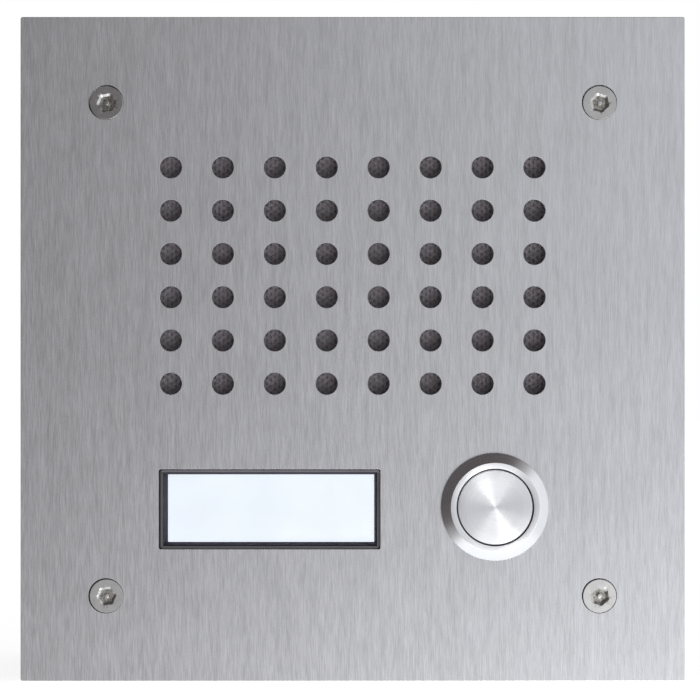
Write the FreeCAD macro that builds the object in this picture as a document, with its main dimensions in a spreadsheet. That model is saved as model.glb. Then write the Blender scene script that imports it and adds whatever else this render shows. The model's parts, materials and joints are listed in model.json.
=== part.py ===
import FreeCAD, Part
import math
import os
import Sketcher

# Flush-mounted door intercom panel, in millimetres.
#
# Frame: +X to the right seen from the front, +Y into the wall, +Z up. The origin is the centre of
# the panel on the wall's surface, so the front plate lies at negative Y and the back box at positive Y.
#
# Every size that can be chosen is a cell of the sheet "Sizes". A Measure is such a cell, or a sum of
# cells: it holds the number and the expression that binds a property to the sheet.

SIZES = {
    # Front plate, which covers the wall round the box by a margin
    "plate_cover": 7.75,
    "plate_thickness": 3.0,
    "plate_corner": 0.5,
    "plate_hole_clearance": 0.2,
    # Sound holes
    "hole_columns": 8,
    "hole_rows": 6,
    "hole_column_pitch": 12.0,
    "hole_row_pitch": 10.0,
    "hole_diameter": 5.0,
    "grille_height": 17.0,
    # Seal between plate and wall
    "seal_thickness": 1.0,
    "seal_inset": 2.0,
    "seal_box_gap": 0.6,
    # Cover screws, M4 countersunk, and their brass inserts
    "screw_inset": 12.0,
    "screw_diameter": 4.0,
    "screw_head_diameter": 7.8,
    "screw_length": 16.0,
    "screw_recess_diameter": 2.9,
    "screw_recess_depth": 1.7,
    "screw_pin_diameter": 1.1,
    "countersink_diameter": 8.2,
    "insert_diameter": 5.6,
    "insert_length": 8.0,
    "thread_clearance": 0.05,
    # Back box
    "box_width": 138.0,
    "box_depth": 45.0,
    "box_wall": 2.0,
    "box_corner": 5.0,
    "pillar_wall": 1.6,
    "pillar_bore_depth": 20.0,
    "fixing_pitch": 80.0,
    "fixing_diameter": 4.5,
    "knockout_diameter": 20.0,
    "knockout_groove": 1.2,
    "knockout_depth": 1.2,
    "knockout_from_rear": 20.0,
    "entry_diameter": 20.0,
    "entry_rise": 24.0,
    # Cable grommet
    "grommet_bore_diameter": 10.0,
    "grommet_lip_width": 3.0,
    "grommet_lip_thickness": 2.0,
    # Welded studs and their nuts, M3, and the earth stud, M4
    "stud_diameter": 3.0,
    "stud_length": 8.0,
    "stud_hole_clearance": 0.2,
    "nut_flats": 5.5,
    "nut_height": 2.4,
    "earth_stud_x": -30.0,
    "earth_stud_inset": 9.0,
    "earth_stud_diameter": 4.0,
    "earth_stud_length": 12.0,
    "earth_nut_flats": 7.0,
    "earth_nut_height": 3.2,
    # Fine mesh behind the sound holes, held by the board's pillars
    "mesh_thickness": 0.5,
    "mesh_margin": 2.8,
    # Loudspeaker
    "speaker_diameter": 57.0,
    "speaker_seal_thickness": 1.2,
    "speaker_seal_width": 3.6,
    "basket_sheet": 0.8,
    "basket_flange_width": 3.3,
    "basket_straight": 3.0,
    "basket_depth": 11.1,
    "basket_rear_radius": 15.5,
    "basket_rib": 2.0,
    "spoke_outer_half": 7.1,
    "spoke_inner_half": 5.9,
    "window_margin": 0.4,
    "surround_thickness": 0.3,
    "roll_width": 3.4,
    "roll_height": 1.4,
    "roll_flank": 0.8,
    "roll_gap": 0.3,
    "surround_land": 1.2,
    "cone_thickness": 0.4,
    "cone_depth": 8.0,
    "dust_cap_radius": 9.2,
    "dust_cap_rise": 2.5,
    "dust_cap_thickness": 0.3,
    "coil_radius": 6.6,
    "coil_former_wall": 0.25,
    "coil_winding_wall": 0.3,
    "coil_winding_length": 2.8,
    "coil_length": 6.0,
    "coil_gap": 0.4,
    "top_plate_radius": 14.5,
    "top_plate_thickness": 2.0,
    "magnet_radius": 16.0,
    "magnet_bore_radius": 9.0,
    "magnet_thickness": 5.0,
    "yoke_radius": 15.0,
    "yoke_thickness": 2.0,
    "ledge_setback": 4.0,
    "ledge_overlap": 1.45,
    "ledge_margin": 0.8,
    "tag_strip_width": 12.0,
    "tag_strip_height": 6.0,
    "tag_strip_thickness": 1.2,
    "tag_width": 2.8,
    "tag_length": 8.0,
    "tag_thickness": 0.5,
    "tag_pitch": 7.0,
    # Flanged bushes that hold the speaker's rim
    "bush_rim_gap": 0.24,
    "bush_stem_diameter": 5.0,
    "bush_head_diameter": 10.0,
    "bush_head_thickness": 1.0,
    # Microphone
    "capsule_diameter": 6.0,
    "capsule_length": 2.7,
    "boot_wall": 1.9,
    "boot_front": 1.3,
    "boot_length": 6.5,
    "boot_port_diameter": 2.8,
    "holder_wall": 1.2,
    "holder_rear": 1.0,
    "holder_bar_width": 7.0,
    "holder_bar_thickness": 1.5,
    "holder_lead_hole": 4.0,
    "fit_clearance": 0.05,
    # Name-plate, beside the call button
    "nameplate_button_gap": 14.1,
    "nameplate_rise": 39.75,
    "nameplate_width": 51.0,
    "nameplate_height": 18.3,
    "nameplate_proud": 0.3,
    "nameplate_corner": 0.9,
    "nameplate_lip": 0.9,
    "nameplate_taper": 0.4,
    "nameplate_recess": 3.8,
    "lens_thickness": 1.5,
    "lens_seat": 0.7,
    "label_thickness": 0.3,
    "diffuser_thickness": 2.5,
    "led_height": 1.1,
    "led_width": 2.8,
    "led_length": 3.5,
    "led_pitch": 16.0,
    "led_board_thickness": 1.0,
    "tray_wall": 1.8,
    "nameplate_flange": 3.5,
    "nameplate_flange_thickness": 2.0,
    "nameplate_ear_reach": 6.5,
    "nameplate_ear_width": 8.0,
    "back_cover_thickness": 1.2,
    "back_cover_step": 1.0,
    # Call button, 22 mm
    "button_x": 32.8,
    "button_rise": 40.35,
    "bezel_diameter": 24.8,
    "bezel_height": 2.1,
    "bezel_edge": 0.5,
    "ring_diameter": 20.5,
    "barrel_diameter": 22.0,
    "barrel_length": 20.0,
    "button_seal_thickness": 0.4,
    "button_seal_inset": 0.5,
    "button_nut_flats": 27.0,
    "button_nut_height": 3.0,
    "cap_diameter": 17.1,
    "cap_gap": 0.4,
    "cap_thickness": 3.0,
    "cap_recess": 0.1,
    "cap_edge": 0.25,
    "cap_travel": 1.8,
    "stem_diameter": 6.0,
    "stem_length": 11.5,
    "stem_clearance": 0.1,
    "spring_space": 4.4,
    "web_thickness": 2.5,
    "rear_bore_diameter": 17.0,
    "cap_seal_width": 1.1,
    "cap_seal_clearance": 0.1,
    "spring_wire": 0.5,
    "spring_diameter": 11.0,
    "spring_turns": 3.0,
    "spring_seat_gap": 0.1,
    "clip_thickness": 0.8,
    "clip_diameter": 10.0,
    "clip_groove_depth": 0.6,
    "clip_mouth": 3.9,
    "contact_diameter": 11.0,
    "contact_thickness": 0.6,
    "contact_stop_gap": 0.1,
    "block_length": 7.0,
    "terminal_width": 2.8,
    "terminal_thickness": 0.8,
    "terminal_pitch": 8.0,
    "terminal_length": 8.0,
    # Circuit board on its pillars
    "board_side_gap": 14.5,
    "board_z_pitch": 56.0,
    "board_margin": 3.5,
    "board_thickness": 1.6,
    "board_stand": 24.5,
    "board_screw_head_diameter": 5.5,
    "board_screw_head_height": 2.0,
    "board_screw_length": 7.0,
    "block_ways": 6,
    "way_pitch": 5.08,
    "block_depth": 10.0,
    "block_height": 11.0,
    "block_x": -22.7,
    "block_inset": 0.5,
    "wire_port": 3.4,
    "wire_port_depth": 6.0,
    "terminal_screw_diameter": 3.4,
    "terminal_screw_height": 1.5,
    "chip_length": 20.0,
    "chip_width": 6.6,
    "chip_height": 3.3,
    "chip_x": -8.0,
    "chip_z": 12.0,
    "chip_pins": 8,
    "chip_pin_pitch": 2.54,
    "chip_pin_width": 1.2,
    "chip_span": 8.6,
    "chip_pin_height": 1.8,
    "capacitor_diameter": 8.0,
    "capacitor_height": 11.5,
    "capacitor_count": 3,
    "capacitor_pitch": 13.0,
    "capacitor_x": -21.0,
    "capacitor_z": 32.0,
    "header_count": 4,
    "header_pitch": 11.0,
    "header_width": 5.8,
    "header_length": 7.6,
    "header_height": 7.0,
    "header_wall": 0.8,
    "header_depth": 5.0,
    "header_inset": 4.5,
    "header_z": -1.0,
    "trimmer_x": 36.0,
    "volume_trimmer_z": 32.0,
    "microphone_trimmer_z": 18.0,
    "trimmer_width": 9.5,
    "trimmer_height": 4.8,
    "rotor_diameter": 6.0,
    "rotor_height": 1.6,
    "rotor_proud": 0.4,
    "rotor_clearance": 0.1,
    "rotor_slot_width": 0.8,
    "rotor_slot_depth": 0.8,
}

DOC = FreeCAD.newDocument("door_intercom_panel")
FULL_TURN = 360
QUARTERS = 4


# Sizes ---------------------------------------------------------------------------------------


class Measure:
    """A cell of the sheet, or a sum of cells, as a number and as the expression that binds it."""

    def __init__(self, value, text):
        self.value = value
        self.text = text

    def joined(self, other, sign, value):
        return Measure(value, f"({self.text} {sign} {other.text})")

    def __add__(self, other):
        other = measure(other)
        return self.joined(other, "+", self.value + other.value)

    def __sub__(self, other):
        other = measure(other)
        return self.joined(other, "-", self.value - other.value)

    def __mul__(self, other):
        other = measure(other)
        return self.joined(other, "*", self.value * other.value)

    def __truediv__(self, other):
        other = measure(other)
        return self.joined(other, "/", self.value / other.value)

    def __neg__(self):
        return measure(0) - self

    def __radd__(self, other):
        return measure(other) + self

    def __rsub__(self, other):
        return measure(other) - self


def measure(value):
    """A plain number as a Measure."""
    if isinstance(value, Measure):
        return value
    return Measure(float(value), f"({float(value)})")


def root(value):
    return Measure(math.sqrt(value.value), f"sqrt({value.text})")


def slope(rise, run):
    """The angle whose tangent is rise over run, in degrees."""
    angle = math.degrees(math.atan2(rise.value, run.value))
    return Measure(angle, f"atan({rise.text} / {run.text})")


class Sizes:
    """The sheet of driving dimensions. Each cell is read as an attribute by its alias."""

    def __init__(self, values):
        self.values = values
        sheet = DOC.addObject("Spreadsheet::Sheet", "Sizes")
        for row, (alias, value) in enumerate(values.items(), start=1):
            sheet.set(f"A{row}", str(value))
            sheet.setAlias(f"A{row}", alias)
        DOC.recompute()

    def __getattr__(self, alias):
        return Measure(self.values[alias], f"Sizes.{alias}")


S = Sizes(SIZES)


# Planes across the depth of the panel, from the front to the rear ------------------------------

PLATE_REAR = -S.seal_thickness
PLATE_FRONT = PLATE_REAR - S.plate_thickness
MESH_REAR = PLATE_REAR + S.mesh_thickness
BOARD_FRONT = MESH_REAR + S.board_stand
BOARD_REAR = BOARD_FRONT + S.board_thickness

FLANGE_FRONT = MESH_REAR + S.speaker_seal_thickness + S.surround_thickness
FLANGE_REAR = FLANGE_FRONT + S.basket_sheet
BASKET_REAR = FLANGE_FRONT + S.basket_depth
TOP_PLATE_REAR = BASKET_REAR + S.top_plate_thickness
MAGNET_REAR = TOP_PLATE_REAR + S.magnet_thickness

LENS_FRONT = PLATE_FRONT - S.nameplate_proud + S.nameplate_recess
LABEL_FRONT = LENS_FRONT + S.lens_thickness
DIFFUSER_FRONT = LABEL_FRONT + S.label_thickness
LED_FRONT = DIFFUSER_FRONT + S.diffuser_thickness + S.fit_clearance
LED_BOARD_FRONT = LED_FRONT + S.led_height
LED_BOARD_REAR = LED_BOARD_FRONT + S.led_board_thickness
TRAY_REAR = LED_BOARD_REAR + S.back_cover_step

BEZEL_REAR = PLATE_FRONT - S.button_seal_thickness
BEZEL_FRONT = BEZEL_REAR - S.bezel_height
CAP_FRONT = BEZEL_FRONT + S.cap_recess
CAP_REAR = CAP_FRONT + S.cap_thickness
WEB_FRONT = CAP_REAR + S.spring_space
WEB_REAR = WEB_FRONT + S.web_thickness
BARREL_REAR = BEZEL_REAR + S.barrel_length
STEM_REAR = CAP_REAR + S.stem_length
CONTACT_REAR = STEM_REAR + S.contact_thickness
TERMINAL_FRONT = CONTACT_REAR + S.cap_travel + S.contact_stop_gap

# Sizes that follow from the box -----------------------------------------------------------------

PLATE_WIDTH = S.box_width + S.plate_cover * 2
PLATE_BOTTOM = -PLATE_WIDTH / 2
SCREW_PITCH = S.box_width - S.screw_inset * 2
BOARD_WIDTH = S.box_width - (S.box_wall + S.board_side_gap) * 2
BOARD_X_PITCH = BOARD_WIDTH - S.board_margin * 2
BOARD_HEIGHT = S.board_z_pitch + S.board_margin * 2

# Places on the front, as X and Z ---------------------------------------------------------------


def over_holes(columns, rows):
    """A distance across the pattern of sound holes, counted in columns and rows."""
    return S.hole_column_pitch * columns, S.hole_row_pitch * rows


def from_grille(columns, rows):
    """A place counted in columns and rows from the middle of the sound holes."""
    x, z = over_holes(columns, rows)
    return x, S.grille_height + z


def at_reach(reach, direction):
    """A place at a distance from the middle, towards a point."""
    x, z = direction
    distance = root(x * x + z * z)
    return reach * x / distance, reach * z / distance


SPEAKER = from_grille(columns=-1, rows=0)
SPEAKER_STUDS = at_reach(
    S.speaker_diameter / 2 + S.bush_rim_gap + S.bush_stem_diameter / 2, over_holes(columns=2, rows=2)
)
MICROPHONE = from_grille(columns=2.5, rows=-0.5)
MICROPHONE_STUD = over_holes(columns=0.5, rows=1.5)
BUTTON = (S.button_x, PLATE_BOTTOM + S.button_rise)
NAMEPLATE_RIGHT = S.button_x - S.bezel_diameter / 2 - S.nameplate_button_gap
NAMEPLATE = (NAMEPLATE_RIGHT - S.nameplate_width / 2, PLATE_BOTTOM + S.nameplate_rise)
NAMEPLATE_EAR_PITCH = S.nameplate_width + S.nameplate_ear_reach * 2
EARTH_STUD = (S.earth_stud_x, S.box_width / 2 - S.earth_stud_inset)
BOARD_STUDS = (BOARD_X_PITCH / 2, S.board_z_pitch / 2)
BOARD_BOTTOM = S.grille_height - BOARD_HEIGHT / 2
STUD_HOLE_RADIUS = S.stud_diameter / 2 + S.stud_hole_clearance / 2


# Binding and sketching -------------------------------------------------------------------------


def bind(thing, path, value):
    thing.setExpression(path, measure(value).text)


def place(thing, x, y, z):
    for axis, value in zip("xyz", (x, y, z)):
        bind(thing, f"Placement.Base.{axis}", value)


def settle(thing):
    """Recompute, and stop at a feature that failed."""
    DOC.recompute()
    if "Invalid" in thing.State or "Error" in thing.State:
        raise RuntimeError(f"{thing.Label} failed: {thing.State}")


def origin_of(body, role):
    return next(feature for feature in body.Origin.OriginFeatures if feature.Role == role)


def new_body(label, x=0, y=0, z=0):
    body = DOC.addObject("PartDesign::Body", label)
    body.Label = label
    body.AllowCompound = True
    place(body, x, y, z)
    return body


def new_sketch(body, role, offset):
    """A sketch on one of the body's own origin planes, moved along the plane's normal."""
    sketch = body.newObject("Sketcher::SketchObject", f"{body.Label}_sketch")
    sketch.AttachmentSupport = (origin_of(body, role), [""])
    sketch.MapMode = "FlatFace"
    bind(sketch, "AttachmentOffset.Base.z", offset)
    return sketch


def face_sketch(body, y):
    """A sketch seen from the front, at depth y: its axes are X and Z."""
    return new_sketch(body, "XZ_Plane", -measure(y))


def turning_sketch(body):
    """A sketch of a turned profile: its axes are the radius and Y."""
    return new_sketch(body, "XY_Plane", 0)


def vector(point):
    return FreeCAD.Vector(measure(point[0]).value, measure(point[1]).value, 0)


def tie(sketch, geometry, end, point):
    """Tie one point of a sketch to its distances from the sketch's origin."""
    for kind, value in zip(("DistanceX", "DistanceY"), point):
        value = measure(value)
        index = sketch.addConstraint(Sketcher.Constraint(kind, -1, 1, geometry, end, value.value))
        bind(sketch, f"Constraints[{index}]", value)


def draw_outline(sketch, points):
    """Close an outline through points. A point of four numbers starts an arc by way of the last two."""
    edges = []
    for here, after in zip(points, points[1:] + points[:1]):
        start, finish = vector(here[:2]), vector(after[:2])
        if len(here) == 4:
            edge = sketch.addGeometry(Part.Arc(start, vector(here[2:]), finish), False)
            ends = (1, 2) if sketch.getPoint(edge, 1).isEqual(start, 1e-6) else (2, 1)
            middle = sketch.addGeometry(Part.Point(vector(here[2:])), True)
            tie(sketch, middle, 1, here[2:])
            sketch.addConstraint(Sketcher.Constraint("PointOnObject", middle, 1, edge))
        else:
            edge = sketch.addGeometry(Part.LineSegment(start, finish), False)
            ends = (1, 2)
        edges.append((edge, ends))
    for index, (edge, ends) in enumerate(edges):
        after, after_ends = edges[(index + 1) % len(edges)]
        sketch.addConstraint(Sketcher.Constraint("Coincident", edge, ends[1], after, after_ends[0]))
        tie(sketch, edge, ends[0], points[index][:2])


def draw_rectangle(sketch, centre, width, height):
    x, z = measure(centre[0]), measure(centre[1])
    half_x, half_z = measure(width) / 2, measure(height) / 2
    signs = ((-1, -1), (1, -1), (1, 1), (-1, 1))
    draw_outline(sketch, [(x + half_x * i, z + half_z * j) for i, j in signs])


def draw_circle(sketch, centre, diameter):
    radius = measure(diameter) / 2
    circle = Part.Circle(vector(centre), FreeCAD.Vector(0, 0, 1), radius.value)
    index = sketch.addGeometry(circle, False)
    tie(sketch, index, 3, centre)
    constraint = sketch.addConstraint(Sketcher.Constraint("Radius", index, radius.value))
    bind(sketch, f"Constraints[{constraint}]", radius)


def draw_hexagon(sketch, centre, flats):
    """A hexagon with a corner up and a corner down."""
    x, z = measure(centre[0]), measure(centre[1])
    side = flats / math.sqrt(3)
    corners = ((0, -1), (0.5, -0.5), (0.5, 0.5), (0, 1), (-0.5, 0.5), (-0.5, -0.5))
    draw_outline(sketch, [(x + flats * i, z + side * j) for i, j in corners])


# Features --------------------------------------------------------------------------------------


def volume(body):
    return body.Shape.Volume if body.Shape and not body.Shape.isNull() else 0.0


def add_feature(body, kind, sketch, **settings):
    """Add a sketched feature and make sure that it changed the body's volume the right way."""
    DOC.recompute()
    before = volume(body)
    feature = body.newObject(f"PartDesign::{kind}", f"{body.Label}_{kind.lower()}")
    feature.Profile = (sketch, [""])
    for name, value in settings.items():
        if isinstance(value, Measure):
            bind(feature, name, value)
        else:
            setattr(feature, name, value)
    settle(feature)
    grew = volume(body) - before
    if kind in ("Pocket", "Groove", "Hole", "SubtractiveLoft"):
        grew = -grew
    if grew <= 0:
        raise RuntimeError(f"{feature.Label} left {body.Label} as it was")
    return feature


def pad(body, sketch, depth):
    """Material from the sketch towards +Y."""
    return add_feature(body, "Pad", sketch, Length=measure(depth), Reversed=True)


def pocket(body, sketch, depth):
    """A cut from the sketch towards +Y."""
    return add_feature(body, "Pocket", sketch, Length=measure(depth))


def revolve(body, points):
    """A body of revolution about Y, from a profile of radius and Y."""
    sketch = turning_sketch(body)
    draw_outline(sketch, points)
    return add_feature(body, "Revolution", sketch, ReferenceAxis=(sketch, ["V_Axis"]), Angle=FULL_TURN)


def slab(body, y, depth, centre, width, height):
    sketch = face_sketch(body, y)
    draw_rectangle(sketch, centre, width, height)
    return pad(body, sketch, depth)


def disc(body, y, depth, centre, diameter):
    sketch = face_sketch(body, y)
    draw_circle(sketch, centre, diameter)
    return pad(body, sketch, depth)


def square_cut(body, y, depth, centre, width, height):
    sketch = face_sketch(body, y)
    draw_rectangle(sketch, centre, width, height)
    return pocket(body, sketch, depth)


def round_cut(body, y, depth, centre, diameter):
    sketch = face_sketch(body, y)
    draw_circle(sketch, centre, diameter)
    return pocket(body, sketch, depth)


def finish_pattern(body, pattern):
    body.Tip = pattern
    settle(pattern)


def row(body, feature, axis, length, count):
    """Repeat a feature in a row of a given length."""
    pattern = body.newObject("PartDesign::LinearPattern", f"{body.Label}_row")
    pattern.Originals = [feature]
    pattern.Direction = (origin_of(body, axis), [""])
    bind(pattern, "Length", length)
    bind(pattern, "Occurrences", count)
    finish_pattern(body, pattern)


def grid(body, feature, width, height, columns, rows):
    """Repeat a feature over a grid of columns along X and rows along Z."""
    pattern = body.newObject("PartDesign::LinearPattern", f"{body.Label}_grid")
    pattern.Originals = [feature]
    pattern.Direction = (origin_of(body, "X_Axis"), [""])
    bind(pattern, "Length", width)
    bind(pattern, "Occurrences", columns)
    pattern.Direction2 = (origin_of(body, "Z_Axis"), [""])
    bind(pattern, "Length2", height)
    bind(pattern, "Occurrences2", rows)
    finish_pattern(body, pattern)


def around(body, features, count=QUARTERS):
    """Repeat features evenly about the body's Y axis."""
    pattern = body.newObject("PartDesign::PolarPattern", f"{body.Label}_around")
    pattern.Originals = features
    pattern.Axis = (origin_of(body, "Y_Axis"), [""])
    pattern.Angle = FULL_TURN
    pattern.Occurrences = count
    finish_pattern(body, pattern)


def round_edges(body, radius, wanted):
    """Fillet the edges of the body so far that wanted picks."""
    base = body.Tip
    edges = [f"Edge{i}" for i, edge in enumerate(base.Shape.Edges, start=1) if wanted(edge)]
    fillet = body.newObject("PartDesign::Fillet", f"{body.Label}_fillet")
    fillet.Base = (base, edges)
    bind(fillet, "Radius", radius)
    settle(fillet)


def across(edge):
    """Whether a straight edge runs along Y."""
    ends = edge.Vertexes
    if edge.Curve.TypeId != "Part::GeomLine" or len(ends) != 2:
        return False
    step = ends[1].Point - ends[0].Point
    return abs(abs(step.y) - step.Length) < 1e-6


def turned_to_depth(primitive):
    """Turn a primitive that stands along Z so that it runs along +Y."""
    primitive.Placement = FreeCAD.Placement(
        FreeCAD.Vector(0, 0, 0), FreeCAD.Rotation(FreeCAD.Vector(1, 0, 0), -90)
    )
    return primitive


def cylinder(label, x, z, y, length, diameter):
    shape = turned_to_depth(DOC.addObject("Part::Cylinder", label))
    bind(shape, "Radius", measure(diameter) / 2)
    bind(shape, "Height", length)
    place(shape, x, y, z)
    return shape


def hex_nut(label, x, z, y, height, flats, bore):
    prism = turned_to_depth(DOC.addObject("Part::Prism", f"{label}_prism"))
    prism.Polygon = 6
    bind(prism, "Circumradius", flats / math.sqrt(3))
    bind(prism, "Height", height)
    place(prism, x, y, z)
    nut = DOC.addObject("Part::Cut", label)
    nut.Base = prism
    nut.Tool = cylinder(f"{label}_bore", x, z, y, height, bore)
    return nut


def group(label, members):
    """Identical pieces that stay separate solids of one node."""
    compound = DOC.addObject("Part::Compound", label)
    compound.Label = label
    compound.Links = members
    return compound


# Plate, seal, screws and box -------------------------------------------------------------------


def front_plate():
    """Stainless plate with its sound holes, name window, button hole and countersinks."""
    body = new_body("front_plate")
    slab(body, PLATE_FRONT, S.plate_thickness, (0, 0), PLATE_WIDTH, PLATE_WIDTH)
    round_edges(body, S.plate_corner, across)

    columns_width = S.hole_column_pitch * (S.hole_columns - 1)
    rows_height = S.hole_row_pitch * (S.hole_rows - 1)
    first_hole = (-columns_width / 2, S.grille_height - rows_height / 2)
    hole = round_cut(body, PLATE_FRONT, S.plate_thickness, first_hole, S.hole_diameter)
    grid(body, hole, columns_width, rows_height, S.hole_columns, S.hole_rows)

    window_width = S.nameplate_width + S.plate_hole_clearance * 2
    window_height = S.nameplate_height + S.plate_hole_clearance * 2
    square_cut(body, PLATE_FRONT, S.plate_thickness, NAMEPLATE, window_width, window_height)
    button_hole = S.barrel_diameter + S.plate_hole_clearance * 2
    round_cut(body, PLATE_FRONT, S.plate_thickness, BUTTON, button_hole)

    sketch = face_sketch(body, PLATE_FRONT)
    draw_circle(sketch, (SCREW_PITCH / 2, SCREW_PITCH / 2), S.screw_diameter)
    hole = add_feature(
        body,
        "Hole",
        sketch,
        Threaded=False,
        Diameter=S.screw_diameter + S.plate_hole_clearance * 2,
        DepthType="ThroughAll",
        HoleCutType="Countersink",
        HoleCutCustomValues=True,
        HoleCutDiameter=S.countersink_diameter,
        HoleCutCountersinkAngle=90,
    )
    around(body, [hole])
    return body


def wall_seal():
    """Foam ring that closes the plate against the wall, outside the box."""
    body = new_body("wall_seal")
    outer = PLATE_WIDTH - S.seal_inset * 2
    slab(body, PLATE_REAR, S.seal_thickness, (0, 0), outer, outer)
    inner = S.box_width + S.seal_box_gap * 2
    square_cut(body, PLATE_REAR, S.seal_thickness, (0, 0), inner, inner)
    return body


def cover_screws():
    """Countersunk security screws, each with a pin in its recess."""
    body = new_body("cover_screws", -SCREW_PITCH / 2, 0, -SCREW_PITCH / 2)
    sink = (S.countersink_diameter - S.screw_head_diameter) / 2
    top = PLATE_FRONT + sink
    head, shank = S.screw_head_diameter / 2, S.screw_diameter / 2
    recess, pin = S.screw_recess_diameter / 2, S.screw_pin_diameter / 2
    floor = top + S.screw_recess_depth
    sketch = turning_sketch(body)
    profile = [
        (0, top),
        (pin, top),
        (pin, floor),
        (recess, floor),
        (recess, top),
        (head, top),
        (shank, top + head - shank),
        (shank, top + S.screw_length),
        (0, top + S.screw_length),
    ]
    draw_outline(sketch, profile)
    turned = add_feature(body, "Revolution", sketch, ReferenceAxis=(sketch, ["V_Axis"]), Angle=FULL_TURN)
    grid(body, turned, SCREW_PITCH, SCREW_PITCH, 2, 2)
    return body


def back_box():
    """Moulded box in the wall, with a pillar in each corner and knock-outs in its sides."""
    body = new_body("back_box")
    depth = S.box_depth - PLATE_REAR
    inner = S.box_width - S.box_wall * 2
    slab(body, PLATE_REAR, depth, (0, 0), S.box_width, S.box_width)
    round_edges(body, S.box_corner, across)
    square_cut(body, PLATE_REAR, depth - S.box_wall, (0, 0), inner, inner)

    pillar = S.screw_inset + S.insert_diameter / 2 + S.pillar_wall
    centre = S.box_width / 2 - S.box_wall / 2 - pillar / 2
    side = pillar - S.box_wall
    post = slab(body, PLATE_REAR, depth - S.box_wall / 2, (centre, centre), side, side)
    around(body, [post])

    corner = (SCREW_PITCH / 2, SCREW_PITCH / 2)
    seat = round_cut(body, PLATE_REAR, S.insert_length, corner, S.insert_diameter)
    bore = S.screw_diameter + S.plate_hole_clearance * 2
    around(body, [seat])
    drill = round_cut(body, PLATE_REAR, S.pillar_bore_depth, corner, bore)
    around(body, [drill])

    fixing = (S.fixing_pitch / 2, S.fixing_pitch / 2)
    rear_wall = S.box_depth - S.box_wall
    hole = round_cut(body, rear_wall, S.box_wall, fixing, S.fixing_diameter)
    around(body, [hole])
    round_cut(body, rear_wall, S.box_wall, (0, entry_height()), S.entry_diameter)
    around(body, [knockout(body)])
    return body


def entry_height():
    return S.entry_rise - S.box_width / 2


def knockout(body):
    """A round groove in the top wall, which leaves a disc that can be knocked out."""
    sketch = new_sketch(body, "XY_Plane", S.box_width / 2)
    centre = (0, S.box_depth - S.knockout_from_rear)
    draw_circle(sketch, centre, S.knockout_diameter)
    draw_circle(sketch, centre, S.knockout_diameter - S.knockout_groove * 2)
    return add_feature(body, "Pocket", sketch, Length=S.knockout_depth)


def box_inserts():
    """Brass threads that take the cover screws."""
    body = new_body("box_inserts", -SCREW_PITCH / 2, 0, -SCREW_PITCH / 2)
    sketch = face_sketch(body, PLATE_REAR)
    draw_circle(sketch, (0, 0), S.insert_diameter)
    draw_circle(sketch, (0, 0), S.screw_diameter + S.thread_clearance * 2)
    insert = pad(body, sketch, S.insert_length)
    grid(body, insert, SCREW_PITCH, SCREW_PITCH, 2, 2)
    return body


def cable_grommet():
    """Rubber grommet in the rear wall, with a lip on each side of it."""
    body = new_body("cable_grommet", 0, 0, entry_height())
    bore, neck = S.grommet_bore_diameter / 2, S.entry_diameter / 2
    lip = neck + S.grommet_lip_width
    inside, outside = S.box_depth - S.box_wall, S.box_depth
    revolve(
        body,
        [
            (bore, inside - S.grommet_lip_thickness),
            (lip, inside - S.grommet_lip_thickness),
            (lip, inside),
            (neck, inside),
            (neck, outside),
            (lip, outside),
            (bore, outside + S.grommet_lip_thickness),
        ],
    )
    return body


# Studs and nuts on the rear of the plate ---------------------------------------------------------


def stud_places():
    """The studs' X and Z, and the depth at which each one's nut sits. Board studs take no nut."""
    places = []
    for i, j in ((-1, -1), (1, -1), (1, 1), (-1, 1)):
        x, z = SPEAKER[0] + SPEAKER_STUDS[0] * i, SPEAKER[1] + SPEAKER_STUDS[1] * j
        places.append((x, z, FLANGE_REAR + S.bush_head_thickness))
        places.append((BOARD_STUDS[0] * i, S.grille_height + BOARD_STUDS[1] * j, None))
    for i in (-1, 1):
        x, z = MICROPHONE[0] + MICROPHONE_STUD[0] * i, MICROPHONE[1] + MICROPHONE_STUD[1] * i
        places.append((x, z, MESH_REAR + S.holder_bar_thickness))
        ear = NAMEPLATE[0] + NAMEPLATE_EAR_PITCH / 2 * i
        places.append((ear, NAMEPLATE[1], PLATE_REAR + S.nameplate_flange_thickness))
    return places


def weld_studs():
    studs = []
    for index, (x, z, _) in enumerate(stud_places()):
        studs.append(cylinder(f"stud_{index}", x, z, PLATE_REAR, S.stud_length, S.stud_diameter))
    return group("weld_studs", studs)


def stud_nuts():
    bore = S.stud_diameter + S.thread_clearance * 2
    nuts = []
    for index, (x, z, seat) in enumerate(stud_places()):
        if seat is not None:
            nuts.append(hex_nut(f"nut_{index}", x, z, seat, S.nut_height, S.nut_flats, bore))
    return group("stud_nuts", nuts)


def earth_stud():
    x, z = EARTH_STUD
    stud = cylinder("earth_stud", x, z, PLATE_REAR, S.earth_stud_length, S.earth_stud_diameter)
    stud.Label = "earth_stud"
    return stud


def earth_nuts():
    """Two nuts that clamp the earth lead's eyelet between them and the plate."""
    x, z = EARTH_STUD
    height, flats = S.earth_nut_height, S.earth_nut_flats
    bore = S.earth_stud_diameter + S.thread_clearance * 2
    seats = (PLATE_REAR, PLATE_REAR + height)
    nuts = [hex_nut(f"earth_nut_{i}", x, z, seat, height, flats, bore) for i, seat in enumerate(seats)]
    return group("earth_nuts", nuts)


# Grille mesh and loudspeaker ---------------------------------------------------------------------


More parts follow.
